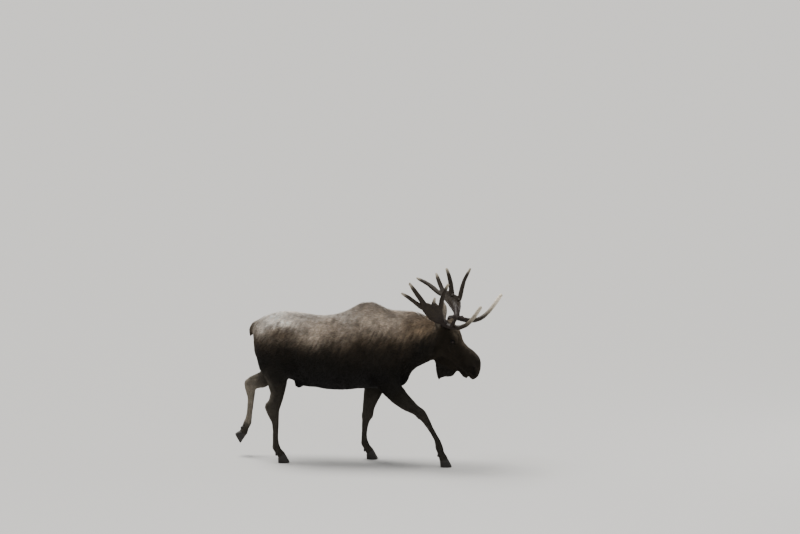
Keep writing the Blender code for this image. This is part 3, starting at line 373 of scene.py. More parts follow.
# Forms of the head on each side, in the head's frame: along, dorsal, sideways; reach, height.
HEAD_STROKES = (
    (((0.150, 0.022, 0.085), (0.190, 0.016, 0.104), (0.236, 0.006, 0.098)), 0.014, 0.0060),  # brow
    (((0.240, -0.036, 0.095), (0.280, -0.064, 0.082)), 0.0080, -0.0050),  # tear groove
    (((0.150, -0.060, 0.105), (0.250, -0.072, 0.094), (0.360, -0.066, 0.074)), 0.016, 0.0055),  # cheekbone
    (((0.230, -0.120, 0.085), (0.340, -0.112, 0.070), (0.430, -0.104, 0.066)), 0.024, -0.0070),  # cheek
    (((0.110, -0.120, 0.100), (0.190, -0.170, 0.080), (0.150, -0.250, 0.055)), 0.030, 0.0050),  # jaw muscle
    (((0.215, -0.170, 0.070), (0.235, -0.220, 0.055)), 0.012, -0.0040),  # its edge
    (((0.300, 0.052, 0.040), (0.400, 0.076, 0.040), (0.500, 0.094, 0.044)), 0.020, 0.0030),  # nose bone
    (((0.330, 0.010, 0.078), (0.450, 0.030, 0.074)), 0.026, -0.0045),  # beside it
    (((0.560, 0.040, 0.080), (0.590, 0.024, 0.086), (0.622, 0.004, 0.076)), 0.015, 0.0070),  # nostril's top
    (((0.575, -0.026, 0.084), (0.612, -0.032, 0.076)), 0.014, 0.0050),  # and its foot
    (((0.540, -0.060, 0.076), (0.590, -0.074, 0.072), (0.632, -0.078, 0.050)), 0.015, 0.0050),  # upper lip
    (((0.470, -0.088, 0.072), (0.520, -0.060, 0.080), (0.556, -0.010, 0.084)), 0.0075, -0.0030),  # folds
    (((0.440, -0.100, 0.070), (0.484, -0.062, 0.078), (0.512, -0.020, 0.080)), 0.0075, -0.0022),
    (((0.540, -0.140, 0.046), (0.590, -0.142, 0.036), (0.612, -0.128, 0.0)), 0.012, 0.0040),  # lower lip
)
NOSTRIL = (((0.566, 0.020, 0.082), (0.584, 0.004, 0.086), (0.606, -0.010, 0.080), (0.624, -0.016, 0.066)),
           0.0080, -0.0190)
MOUTH = (((0.414, -0.168, 0.056), (0.450, -0.154, 0.062), (0.520, -0.126, 0.066), (0.590, -0.106, 0.062),
          (0.634, -0.108, 0.044), (0.652, -0.112, 0.0)), 0.0062, -0.0080)


def build_skin():
    """The flesh as one skin, let in by the depth of the coat and sculpted."""
    obj = remeshed("skin", FLESH + ["right_eye", "left_eye"], SKIN_VOXEL, SKIN_SWELL)
    eyes = list(EYES.values())
    refine(obj, eyes + on_face(FINE_SPOTS, 1) + on_face(FINE_SPOTS, -1), FINE_REACH)
    for reach in EYE_REACHES:
        refine(obj, eyes, reach)
    mesh = obj.data
    points, edges = points_of(mesh), edges_of(mesh)
    labels = nearest_nodes(points)
    broad = by_node(labels, BROADNESS) * ease(gap_from(points, at(*SHEATH)), *SHEATH_SPARED)
    scale = (FULL_VOXEL / SKIN_VOXEL) ** 2
    points = spread(points, edges, int(BROAD_ROUNDS * scale), 0.5 * spread(broad, edges, ROUNDS["broad"]))
    fine = spread(by_node(labels, FINENESS, 0.5), edges, ROUNDS["fine"])
    points = spread(points, edges, int(FINE_ROUNDS * scale) + 2, fine)
    set_points(mesh, points)
    depth = spread(by_node(labels, DEPTHS), edges, ROUNDS["depth"])
    points -= normals_of(mesh) * depth[:, None]
    set_points(mesh, points)
    normals = normals_of(mesh)
    sculpt_body(points, normals)
    sculpt_legs(points, normals)
    draw_lids(points)
    set_points(mesh, points)
    return obj


def sculpt_body(points, normals):
    for side in SIDES.values():
        for path, sideways, reach, height in BODY_STROKES:
            sculpt(points, normals, [at(x, side * sideways, z) for x, z in path], reach, height)
        for x in np.linspace(RIBS["first"], RIBS["last"], RIBS["count"]):
            path = [at(x + back, side * out, up) for back, out, up in RIB_PATH]
            sculpt(points, normals, path, RIBS["reach"], RIBS["height"])
        for path, reach, height in HEAD_STROKES + (NOSTRIL, MOUTH):
            sculpt(points, normals, on_face(path, side), reach, height)


def sculpt_legs(points, normals):
    for limb, paths in LEG_PATHS.items():
        for path, (reach, height) in zip(paths, LEG_FORMS[limb.split("_")[1]]):
            for sideways in (LEG_SIDEWAYS[limb] - LEG_HALF, LEG_SIDEWAYS[limb] + LEG_HALF):
                sculpt(points, normals, [at(x, sideways, z) for x, z in path], reach, height)
        pastern, cannon = middle(f"{limb}_pastern"), middle(f"{limb}_cannon")
        root = (pastern + cannon * CLAW_ROOT) / (1 + CLAW_ROOT)
        for place in ("inner", "outer"):
            claw = middle(f"{limb}_dewclaw_{place}")
            sculpt(points, normals, [claw + (root - claw) * CLAW_COVER], *CLAW_MOUND)
        draw_coronet(points, normals, limb)


CORONET_REACH = 0.060               # the leg's end slides down and swells over this length
CORONET_SLIDE, CORONET_SWELL = 0.014, 0.0050
CORONET_EDGE = 0.010                # the whole way is reached this far before the end
CORONET_NEAR = 0.16                 # from the hooves' middle, what belongs to the leg's end
CLAW_ROOT = 0.15                    # weight of the cannon's middle in where the dewclaws grow from
CLAW_COVER = 0.3                    # the hide is raised this far along from the claw to its root
CLAW_MOUND = (0.020, 0.007)         # reach and height


def draw_coronet(points, normals, limb):
    """Draws the end of a leg down over the tops of its hooves."""
    hooves = (middle(f"{limb}_hoof_inner") + middle(f"{limb}_hoof_outer")) / 2
    pastern = middle(f"{limb}_pastern")
    way = unit(hooves - pastern)
    near = np.flatnonzero(gap_from(points, hooves) < CORONET_NEAR)
    ahead = (points[near] - pastern) @ way
    amount = ease(ahead, ahead.max() - CORONET_REACH, ahead.max() - CORONET_EDGE)
    sideways = normals[near] - way * (normals[near] @ way)[:, None]
    points[near] += way * (CORONET_SLIDE * amount)[:, None] + sideways * (CORONET_SWELL * amount)[:, None]


EYE_WAY = (0.955, 0.16, 0.24)       # the way an eye faces: sideways, along the face, dorsal
LID_OPENING = (0.0184, 0.0112)      # half width and half height of the opening between the lids
LID_STAND = 1.10                    # radius of the lids' dome, of the eyeball's
LID_ROUND = 0.90                    # the dome is round out to here, of its radius, then level
LID_REACH = (0.95, 1.75)            # full lid out to the first, gone by the second, of its radius
LID_EDGE = (-0.0010, 0.0012)        # the lid's edge turns in over this much of the opening
LID_FLOOR = 0.30                    # inside the opening the skin lies this far out, of the eye's radius
LID_TILT = math.radians(14.0)
LID_ARCH = 2.6                      # power of the arch of the lids' edges
LID_NEAR = 2.4                      # the skin this near the eye's middle is drawn, of the radius
LID_FLATNESS = 1.15                 # the fold round the lids is this much wider than high
LID_SHARES = (1.08, 0.92)           # how much of the half height the upper and the lower lid leave open
LID_CREASE = (0.92, 0.0026, 0.0022)     # the fold round the lids: place, of the radius, reach and depth


def eye_axes(side):
    """Outward, forward and upward axes of an eye."""
    sideways, along, dorsal = EYE_WAY
    out = unit(LEFT * side * sideways + ALONG * along + DORSAL * dorsal)
    ahead = unit(ALONG - out * (ALONG @ out))
    up = np.cross(out, ahead) * side
    up = unit(up if up @ DORSAL > 0 else -up)
    turned = ahead * math.cos(LID_TILT) + up * math.sin(LID_TILT)
    return out, turned, unit(up * math.cos(LID_TILT) - ahead * math.sin(LID_TILT))


def draw_lids(points):
    """Draws the skin over each eyeball, with an almond-shaped opening."""
    for name, side in SIDES.items():
        out, ahead, up = eye_axes(side)
        near = np.flatnonzero(gap_from(points, EYES[name]) < EYE_RADIUS * LID_NEAR)
        away = points[near] - EYES[name]
        a, u, o = away @ ahead, away @ up, away @ out
        flat = np.hypot(a, u)
        half_width, half_height = LID_OPENING
        arch = 1 - np.clip(np.abs(a) / half_width, 0, 1) ** LID_ARCH
        height = half_height * np.where(u > 0, *LID_SHARES) * arch
        opening = ease(height - np.abs(u), *LID_EDGE) * (np.abs(a) < half_width)
        amount = (1 - ease(flat, LID_REACH[0] * EYE_RADIUS, LID_REACH[1] * EYE_RADIUS)) * (o > 0)
        radius = EYE_RADIUS * LID_STAND
        dome = np.sqrt(radius ** 2 - np.minimum(flat, radius * LID_ROUND) ** 2)
        ring, reach, depth = LID_CREASE
        crease = depth * np.exp(-((np.hypot(a, u * LID_FLATNESS) - EYE_RADIUS * ring) / reach) ** 2)
        lid = np.maximum(dome, o * (1 - amount)) - crease
        wanted = lid * (1 - opening) + EYE_RADIUS * LID_FLOOR * opening
        points[near] += out * ((wanted - o) * amount)[:, None]


def thinned(obj, triangles, freedom):
    """Collapses edges down to a number of triangles, freest where freedom is 1."""
    group = obj.vertex_groups.new(name="freedom")
    steps = np.round(freedom * 20) / 20
    for value in np.unique(steps):
        group.add(np.flatnonzero(steps == value).tolist(), float(value), "REPLACE")
    thin = obj.modifiers.new("thin", "DECIMATE")
    thin.ratio = triangles / sum(len(face.vertices) - 2 for face in obj.data.polygons)
    thin.vertex_group = group.name
    thin.vertex_group_factor = 1.0
    applied(obj)


def skin_freedom(points):
    """How freely the skin's faces may be merged: least round eyes, nostrils and mouth."""
    freedom = by_node(nearest_nodes(points), FREEDOM, 1.0)
    freedom[gap_to(points, EYES.values()) < EYE_KEPT] = 0.0
    along, dorsal, _ = head_coords(points)
    muzzle = (along > MUZZLE_KEPT["along"]) & (dorsal < MUZZLE_KEPT["below"])
    freedom[muzzle & (points[:, 0] > MUZZLE_KEPT["ahead"])] *= MUZZLE_KEPT["share"]
    return freedom


# ---------------------------------------------------------------- materials
class Nodes:
    """Short-hand for building a material's node tree."""

    def __init__(self, name, roughness, specular=0.35):
        self.material = bpy.data.materials.new(name)
        self.material.use_nodes = True
        self.tree = self.material.node_tree
        self.shader = self.tree.nodes["Principled BSDF"]
        self.shader.inputs["Roughness"].default_value = roughness
        self.shader.inputs["Specular IOR Level"].default_value = specular

    def add(self, kind, **inputs):
        node = self.tree.nodes.new("ShaderNode" + kind)
        for key, value in inputs.items():
            self.put(node.inputs[key], value)
        return node

    def put(self, socket, value):
        if isinstance(value, bpy.types.NodeSocket):
            self.tree.links.new(value, socket)
        else:
            socket.default_value = value

    def attribute(self, name, output):
        node = self.add("Attribute")
        node.attribute_name = name
        return node.outputs[output]

    def noise(self, scale, detail, roughness):
        """Noise that is as fine along each axis as the scale says."""
        place = self.add("Mapping", Vector=self.add("TexCoord").outputs["Object"], Scale=scale)
        node = self.add("TexNoise", Vector=place.outputs["Vector"], Scale=1.0, Detail=detail,
                        Roughness=roughness)
        return node.outputs["Fac"]

    def ramp(self, factor, stops):
        node = self.add("ValToRGB", Fac=factor)
        while len(node.color_ramp.elements) < len(stops):
            node.color_ramp.elements.new(0.5)
        for element, (place, color) in zip(node.color_ramp.elements, stops):
            element.position = place
            element.color = (*color, 1.0)
        return node.outputs["Color"]

    def mix(self, factor, first, second, blend="MIX"):
        node = self.add("Mix")
        node.data_type = "RGBA"
        node.blend_type = blend
        for number, value in ((0, factor), (6, first), (7, second)):
            self.put(node.inputs[number], value)
        return node.outputs[2]

    def multiply_add(self, value, factor, plus):
        node = self.add("Math")
        node.operation = "MULTIPLY_ADD"
        for socket, given in zip(node.inputs, (value, factor, plus)):
            self.put(socket, given)
        return node.outputs[0]

    def bump(self, height, distance, strength, under=None):
        node = self.add("Bump", Height=height, Distance=distance, Strength=strength)
        if under is not None:
            self.put(node.inputs["Normal"], under)
        return node.outputs["Normal"]

    def finish(self, color, roughness=None, normal=None):
        for key, value in (("Base Color", color), ("Roughness", roughness), ("Normal", normal)):
            if value is not None:
                self.put(self.shader.inputs[key], value)
        return self.material


def fur_material(name):
    """Colour from the coat's markings with painted light and shade, with fine hair lines as bump."""
    nodes = Nodes(name, roughness=0.80, specular=0.13)
    along_body = nodes.noise((70, 420, 260), 4.0, 0.6)
    down_legs = nodes.noise((420, 420, 60), 4.0, 0.6)
    hairs = nodes.mix(nodes.attribute("upright", "Fac"), along_body, down_legs)
    shade = nodes.ramp(hairs, ((0.25, (0.62, 0.62, 0.62)), (0.75, (1.32, 1.32, 1.32))))
    blotches = nodes.noise((9, 14, 14), 4.0, 0.6)
    patchy = nodes.ramp(blotches, ((0.30, (0.86, 0.86, 0.86)), (0.70, (1.14, 1.13, 1.11))))
    color = nodes.mix(1.0, nodes.attribute("tone_and_painted_light", "Color"), shade, "MULTIPLY")
    color = nodes.mix(1.0, color, patchy, "MULTIPLY")
    nodes.shader.inputs["Sheen Weight"].default_value = 0.04
    nodes.shader.inputs["Sheen Roughness"].default_value = 0.45
    return nodes.finish(color, normal=nodes.bump(hairs, 0.0016, 0.8))


def antler_material():
    nodes = Nodes("antler", roughness=0.60, specular=0.20)
    grain = nodes.noise((60, 60, 60), 6.0, 0.65)
    fine = nodes.noise((240, 240, 240), 4.0, 0.6)
    stops = ((0.30, (0.55, 0.52, 0.47)), (0.55, (1.0, 1.0, 1.0)), (0.78, (1.30, 1.27, 1.20)))
    color = nodes.mix(1.0, nodes.attribute("tone_and_painted_light", "Color"), nodes.ramp(grain, stops), "MULTIPLY")
    normal = nodes.bump(grain, 0.0016, 0.7, nodes.bump(fine, 0.0006, 0.6))
    return nodes.finish(color, nodes.multiply_add(fine, 0.25, 0.42), normal)


def horn_material():
    nodes = Nodes("hoof horn", roughness=0.45)
    rings = nodes.noise((18, 18, 260), 3.0, 0.5)
    fibre = nodes.noise((420, 420, 40), 3.0, 0.6)
    stops = ((0.30, (0.008, 0.007, 0.006)), (0.55, (0.018, 0.015, 0.012)), (0.80, (0.050, 0.041, 0.032)))
    normal = nodes.bump(rings, 0.0012, 0.7, nodes.bump(fibre, 0.0004, 0.6))
    return nodes.finish(nodes.ramp(rings, stops), nodes.multiply_add(fibre, 0.35, 0.30), normal)


def eye_material():
    """Dark brown iris with a wide pupil, under a clear wet surface."""
    nodes = Nodes("eye", roughness=0.10, specular=0.20)
    streaks = nodes.noise((300, 300, 300), 3.0, 0.6)
    place = nodes.multiply_add(streaks, 0.10, nodes.attribute("iris", "Fac"))
    pupil = ((0.0, (0.002, 0.002, 0.002)), (0.36, (0.003, 0.002, 0.002)))
    iris = ((0.44, (0.018, 0.008, 0.004)), (0.72, (0.014, 0.006, 0.003)))
    rim = ((0.84, (0.005, 0.004, 0.003)), (1.0, (0.010, 0.007, 0.006)))
    nodes.shader.inputs["Coat Weight"].default_value = 0.10
    nodes.shader.inputs["Coat Roughness"].default_value = 0.03
    return nodes.finish(nodes.ramp(place, pupil + iris + rim))


def floor_material():
    return Nodes("floor", roughness=0.9, specular=0.15).finish((0.47, 0.466, 0.455, 1.0))


# ---------------------------------------------------------------- antlers, hooves and eyes
ANTLER_VOXEL = 0.0036
ANTLER_ROUNDS = 7                   # of smoothing
ANTLER_SWELL = 0.0014               # the CAD nodes overlap by this before they are made one
ANTLER_OUT = 0.0030                 # makes up for what smoothing takes off
GROOVES, FINE_GROOVES = (0.034, 0.0013), (0.014, 0.0007)    # size in direction, height
PEARLS, BURR_PEARLS = (0.009, 0.0006), (0.055, 0.0034)      # size or reach, height
PALM_FROM = (0.10, 0.30)            # from the fork outwards, where the palm's tone sets in
TINE_MARGIN = 0.004                 # round a tine's box, what belongs to it
# How far from its tip a tine turns pale, and how pale.
PALE_TINE = (0.080, 0.50)
# The brow tines' long pale ends are partly the antler's own pale tips and partly painted sunlight.
PALE_BROW = {"right_antler_brow": (0.300, 0.62), "left_antler_brow": (0.340, 1.00)}
# A tine is thickened towards its tip over this distance, and by how much.
TINE_BLUNT = (0.200, 0.0050)
BROW_BLUNT = (0.260, 0.0085)
# painted shade: the dark and palm tones are the antler's own brown, darkened further as painted shade
ANTLER_DARK = np.array((0.018, 0.0122, 0.0074))
ANTLER_PALM = np.array((0.022, 0.0158, 0.0100))
ANTLER_PALE = np.array((0.78, 0.70, 0.57))


def set_color(mesh, name, colors):
    layer = mesh.color_attributes.new(name, "FLOAT_COLOR", "POINT")
    opaque = np.column_stack((colors, np.ones(len(colors))))
    layer.data.foreach_set("color", opaque.astype(np.float32).ravel())


def set_value(mesh, name, values):
    mesh.attributes.new(name, "FLOAT", "POINT").data.foreach_set("value", values.astype(np.float32))


def finished(obj, material, slot, *nodes):
    """Smooth shading, material and place in the frame."""
    shade_smooth(obj.data)
    obj.data.materials.clear()
    obj.data.materials.append(material)
    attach(obj, "root")
    if nodes:
        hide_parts(*nodes)


def build_antler(side, material):
    names = [name for name in NODES if name.startswith(f"{side}_antler")]
    obj = remeshed(f"{side}_antler", names, ANTLER_VOXEL, ANTLER_SWELL)
    points = spread(points_of(obj.data), edges_of(obj.data), ANTLER_ROUNDS)
    set_points(obj.data, points)
    normals = normals_of(obj.data)
    fork = middle(f"{side}_antler_beam")
    # Grooves run out from the fork: noise drawn over the direction, little changed by distance.
    ways = unit(points - fork)
    grooves = value_noise(ways, GROOVES[0], SEED)
    finer = value_noise(ways, FINE_GROOVES[0], SEED + 1)
    pearls = value_noise(points, PEARLS[0], SEED + 2)
    palm = ease(gap_from(points, fork), *PALM_FROM)
    burr = np.exp(-(gap_from(points, middle_of_burr(side)) / BURR_PEARLS[0]) ** 2)
    relief = ANTLER_OUT + GROOVES[1] * grooves + FINE_GROOVES[1] * finer
    relief += (PEARLS[1] + BURR_PEARLS[1] * burr) * pearls
    points += normals * relief[:, None]
    pale, blunt = tips_of(points, fork, [name for name in names if "tine" in name or "brow" in name])
    set_points(obj.data, points + normals * blunt[:, None])
    # painted shade darkens the antler's own brown here
    color = ANTLER_DARK + (ANTLER_PALM - ANTLER_DARK) * palm[:, None]
    color = color + (ANTLER_PALE - color) * pale[:, None]
    color *= (1 + 0.22 * grooves - 0.10 * finer)[:, None]
    set_color(obj.data, "tone_and_painted_light", np.clip(color, 0.01, 1))
    finished(obj, material, "antler_bone", *names)


def tips_of(points, fork, names):
    """How pale each point is for being near a tine's tip, partly painted sunlight on the brow tines, and
    how much thicker.
    """
    pale, blunt = np.zeros(len(points)), np.zeros(len(points))
    for name in names:
        low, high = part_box(name)
        inside = (points > np.array(low) - TINE_MARGIN) & (points < np.array(high) + TINE_MARGIN)
        corners = points[inside.all(1)]
        gap = gap_from(points, corners[gap_from(corners, fork).argmax()])
        reach, most = PALE_BROW.get(name, PALE_TINE)
        pale = np.maximum(pale, most * (1 - ease(gap, 0.05 * reach, reach)))
        reach, swell = BROW_BLUNT if "brow" in name else TINE_BLUNT
        blunt = np.maximum(blunt, swell * (1 - ease(gap, 0.0, reach)))
    return pale, blunt


BURR_INSET = 0.03                   # of the burr's middle from the beam's inner end


def middle_of_burr(side):
    """The antler's root, where its beam stands on the skull."""
    low, high = (np.array(corner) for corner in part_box(f"{side}_antler_beam"))
    centre = (low + high) / 2
    centre[1] = low[1] + BURR_INSET if side == "left" else high[1] - BURR_INSET
    return centre


HOOF_VOXEL = 0.0026
SOLE_DEPTH = 0.0035                 # what lies this low is the sole, and stays sharp
HOOF_ROUNDS = 22                    # of smoothing
LIFTED = "left_hind"                # the leg whose foot is off the floor
EYE_BULGE, BULGE_EDGE = 0.0012, (0.62, 0.92)    # of the clear front: height, and where it sets in
EYE_INSET = 0.985                   # the drawn eyeball's radius, of the full one
IRIS_HALF = (0.775, 0.4593)         # of the iris with its rim: half length and height, of the radius


def build_hooves(limb, material):
    names = [name for name in NODES if name.startswith(limb) and ("hoof" in name or "dewclaw" in name)]
    obj = remeshed(f"{limb}_hooves", names, HOOF_VOXEL, 0.0)
    points = points_of(obj.data)
    sole = points[:, 2] < points[:, 2].min() + SOLE_DEPTH
    points = spread(points, edges_of(obj.data), HOOF_ROUNDS, np.where(sole, 0.06, 0.5))
    if limb != LIFTED:
        points[:, 2] = np.maximum(points[:, 2], 0.0)
        points[sole, 2] = 0.0
    set_points(obj.data, points)
    finished(obj, material, "hoof_horn", *names)


def build_eye(name, material):
    out, ahead, up = eye_axes(SIDES[name])
    eye = made_by(bmesh.ops.create_uvsphere, f"{name}_eyeball", u_segments=48, v_segments=32,
                  radius=EYE_RADIUS)
    # The sphere's poles lie along the outward axis; the clear front stands out a little.
    way = unit(points_of(eye.data))
    bulge = EYE_BULGE * ease(way[:, 2], *BULGE_EDGE)
    place = way @ np.array((ahead, up, out)) * (EYE_RADIUS * EYE_INSET + bulge)[:, None]
    set_points(eye.data, place + EYES[name])
    iris = np.hypot(way[:, 0] / IRIS_HALF[0], way[:, 1] / IRIS_HALF[1])
    set_value(eye.data, "iris", np.clip(np.where(way[:, 2] > 0, iris, 1.0), 0, 1))
    finished(eye, material, "eye_dark", f"{name}_eye")


# ---------------------------------------------------------------- the studio
FLOOR_HALF = 60.0
# Name, power, colour and way of the light from above, and how wide a piece of sky it comes from.
SKY = ("sky", 6.2, (1.0, 0.98, 0.95), (0.32, -0.16, -0.93))
SKY_SPREAD = math.radians(35.0)
# Name, place, target, size, power and colour of the lamps.
LAMPS = (
    ("front", (2.6, -7.5, 4.6), (0.1, 0.0, 1.2), 5.0, 130.0, (1.0, 0.99, 0.97)),
    ("nose", (7.0, 1.6, 3.4), (0.6, 0.0, 1.3), 3.5, 90.0, (1.0, 0.98, 0.95)),
)
WORLD_COLOR, WORLD_POWER = (0.93, 0.95, 0.97, 1.0), 0.33
CAMERA = {"azimuth": math.radians(8.0), "elevation": math.radians(8.5), "distance": 48.0, "lens": 200.0,
          "target": (0.3817, 0.0, 2.1486)}


def aim(obj, way):
    """Turns a light or a camera to look along a way."""
    obj.rotation_mode = "QUATERNION"
    obj.rotation_quaternion = way.to_track_quat("-Z", "Y")


def new_light(kind, name, power, color, way):
    light = bpy.data.lights.new(name, kind)
    light.energy = power
    light.color = color
    obj = new_object(name, light)
    aim(obj, Vector(way))
    return obj


def build_studio():
    floor = made_by(bmesh.ops.create_grid, "floor", x_segments=2, y_segments=2, size=FLOOR_HALF)
    floor.data.materials.append(floor_material())
    sky = new_light("SUN", *SKY)
    sky.data.angle = SKY_SPREAD
    for name, place, target, size, power, color in LAMPS:
        lamp = new_light("AREA", name, power, color, Vector(target) - Vector(place))
        lamp.location = place
        lamp.data.shape = "DISK"
        lamp.data.size = size
    world = bpy.data.worlds.new("studio")
    world.use_nodes = True
    world.node_tree.nodes["Background"].inputs["Color"].default_value = WORLD_COLOR
    world.node_tree.nodes["Background"].inputs["Strength"].default_value = WORLD_POWER
    bpy.context.scene.world = world


def build_camera():
    data = bpy.data.cameras.new("camera")
    data.lens = CAMERA["lens"]
    data.sensor_width = 36.0
    data.clip_end = 200.0
    camera = new_object("camera", data)
    a, e = CAMERA["azimuth"], CAMERA["elevation"]
    back = Vector((math.sin(a) * math.cos(e), -math.cos(a) * math.cos(e), math.sin(e)))
    camera.location = Vector(at(*CAMERA["target"])) + back * CAMERA["distance"]
    aim(camera, -back)
    bpy.context.scene.camera = camera


# ---------------------------------------------------------------- markings with painted light and shade, lie and length of the coat
DARK = np.array((0.0086, 0.0068, 0.0046))        # belly, chest, cheeks and bell; their own dark coat made darker as painted shade
BROWN = np.array((0.076, 0.055, 0.036))          # shoulder and neck
BACK = np.array((0.430, 0.362, 0.296))           # along the spine, partly painted sunlight
SADDLE_AND_SUNLIGHT = np.array((0.800, 0.750, 0.690))         # croup and top of the rump, partly the coat's own paler saddle and partly painted sunlight
STOCKING = np.array((0.050, 0.044, 0.036))       # lower legs
FACE = np.array((0.027, 0.0210, 0.0145))
MUZZLE = np.array((0.026, 0.021, 0.016))
BARE = np.array((0.0120, 0.0100, 0.0090))        # lids, nostrils and lips
EAR_BACK = np.array((0.095, 0.078, 0.060))
EAR_INSIDE = np.array((0.190, 0.165, 0.135))
EVEN = 1 / 2.3                                   # power at which equal steps of a colour look equal
EAR_OPEN = np.array((0.75, 0.0, 0.10))           # the way the ears are open to
# Heights over which the painted shade under the belly lifts and the brown, the back, the saddle and the
# spine's tone set in; the back, saddle and spine tones are partly painted sunlight.
BELLY_RISE, BROWN_RISE, BACK_RISE = (0.95, 1.15), (1.11, 1.48), (1.19, 1.57)
SADDLE_AND_SUNLIGHT_RISE, SPINE_RISE = (1.30, 1.60), (1.52, 1.64)
# Patches of another tone on both sides: middle along and up, reach along and up, colour, weight. The pale
# shoulder and flank patches are partly painted sunlight.
PATCHES = (
    ((0.27, 1.585), (0.20, 0.080), BACK * 1.40, 0.75),       # shoulder
    ((0.66, 1.495), (0.20, 0.085), BROWN * 4.2, 0.85),       # neck behind the ear
    ((-0.49, 1.430), (0.16, 0.090), BACK * 1.35, 0.60),      # flank
    ((-0.87, 1.425), (0.17, 0.070), BROWN * 1.30, 0.80),     # hip
)


def blend_to(color, other, weight):
    """Colours part of the way to another one, as the eye judges it."""
    seen = color ** EVEN
    seen += (np.asarray(other) ** EVEN - seen) * weight[:, None]
    return seen ** (1 / EVEN)


def node_weights(labels, *endings):
    chosen = np.array([any(name.endswith(ending) for ending in endings) for name in FLESH], float)
    return chosen[labels]


STREAK_LENGTH, STREAK_WIDTH = 0.085, 0.018
STREAK_LEAN = math.radians(62.0)     # of the streaks below the horizontal, running down and back


def streaks_of(x, y, z):
    """Noise in long narrow streaks that fall down and back over the sides."""
    down = x * math.cos(STREAK_LEAN) + z * math.sin(STREAK_LEAN)
    across = z * math.cos(STREAK_LEAN) - x * math.sin(STREAK_LEAN)
    places = np.column_stack((down / STREAK_LENGTH, across / STREAK_WIDTH, y / STREAK_WIDTH * 0.5))
    return 0.7 * value_noise(places, 1.0, SEED + 7) + 0.4 * value_noise(places, 0.5, SEED + 8)


def bare_lines(spacing):
    """The lines of the nostrils and the mouth on both sides, as close spots, and their reach."""
    for side in SIDES.values():
        for path, reach, _ in (NOSTRIL, MOUTH):
            yield dense_path(on_face(path, side), spacing), reach


def coat_tone_and_painted_light(points, normals, parts):
    """The coat's colour, with painted shade below and painted sunlight along the top, from where a point
    lies on the animal; parts holds soft weights of the nodes.
    """
    color = body_color(points, normals, parts)
    color = leg_color(color, points, normals, parts)
    color = head_color(color, points, parts)
    inside = ease(normals @ unit(EAR_OPEN) + 0.45 * np.abs(normals[:, 1]) - 0.25, 0.0, 0.5)
    color = blend_to(color, EAR_BACK, parts["ear"])
    color = blend_to(color, EAR_INSIDE, parts["ear"] * inside)
    color = blend_to(color, DARK * 1.3, parts["bell"])
    color = blend_to(color, BROWN * 0.9, parts["tail"])
    return np.clip(color, 0.004, 0.9)


def body_color(points, normals, parts):
    """Dark below, with painted shade deepening it towards the bottom, brown above that, and pale along the
    back and on the croup, partly the coat's own paler saddle and partly painted sunlight.
    """
    x, y, z = (points - DESIGN).T
    wave = value_noise(points, 0.16, SEED + 5)
    mottle = value_noise(points * np.array((0.6, 1.0, 1.0)), 0.045, SEED + 6)
    streaks = streaks_of(x, y, z)
    upper = z + 0.05 * wave + 0.030 * streaks
    # painted shade: the underside darkens further towards the bottom
    color = np.tile(DARK, (len(points), 1)) * (0.65 + 0.35 * ease(z, *BELLY_RISE))[:, None]
    brown_from = upper + 0.06 * ease(x, -0.50, -0.10) - 0.17 * ease(x, 0.40, 0.72)
    color = blend_to(color, BROWN, ease(brown_from, *BROWN_RISE))
    back_from = upper - 0.09 * ease(x, -0.35, 0.10) - 0.05 * ease(-x, 0.80, 1.05)
    color = blend_to(color, BACK, ease(back_from, *BACK_RISE) * (1 - ease(x, 0.35, 0.75) * 0.60))
    # painted sunlight: the croup and the spine are paled partly as the coat's own saddle and partly as
    # painted sunlight from above
    color = blend_to(color, SADDLE_AND_SUNLIGHT, ease(-x, 0.42, 0.98) * ease(upper, *SADDLE_AND_SUNLIGHT_RISE))
    spine = ease(-x, -0.10, 0.30) * (1 - ease(-x, 0.5, 0.9)) * ease(upper, *SPINE_RISE)
    color = blend_to(color, SADDLE_AND_SUNLIGHT * 0.62, 0.8 * spine)
    for (ahead, height), (reach, rise), tone, weight in PATCHES:
        patch = np.exp(-((x - ahead) / reach) ** 2 - ((upper - height) / rise) ** 2)
        color = blend_to(color, tone, weight * patch)
    crest = ease(normals[:, 2], 0.55, 0.95) * ease(x, -0.12, 0.02) * (1 - parts["head"])
    color *= (1 - 0.50 * crest)[:, None]
    # Mottle and streaks brighten the upper body only: partly the hair's own streaky tone, partly painted
    # sunlit highlights on the hair
    color *= (1 + (0.30 * mottle + 0.42 * streaks) * ease(z, 1.12, 1.4))[:, None]
    return color


def leg_color(color, points, normals, parts):
    """Stockings, darker on their fronts, paler on the inner sides and down the backs of the haunches:
    partly the legs' own tones, partly painted shade in front and painted sunlight behind.
    """
    _, y, z = (points - DESIGN).T
    legs, hind = parts["legs"], parts["hind"]
    # painted light: the legs' fronts stay darker and the hind legs' backs, inner sides and whole length are
    # paled, partly their own tones, partly painted shade and sunlight
    color = blend_to(color, STOCKING, legs * (1 - 0.30 * ease(normals[:, 0], 0.2, 0.9)))
    rear = hind * ease(-normals[:, 0], -0.1, 0.8) * ease(z, 0.45, 0.60) * (1 - ease(z, 0.98, 1.15))
    color = blend_to(color, STOCKING * 2.6, 0.75 * rear)
    color *= (1 + 0.45 * hind * legs)[:, None]
    inner = ease(-normals[:, 1] * np.sign(y), 0.1, 0.8) * (1 - ease(z, 0.92, 1.05))
    return blend_to(color, STOCKING * 7.5, (0.12 * legs + 0.70 * hind * legs) * inner)


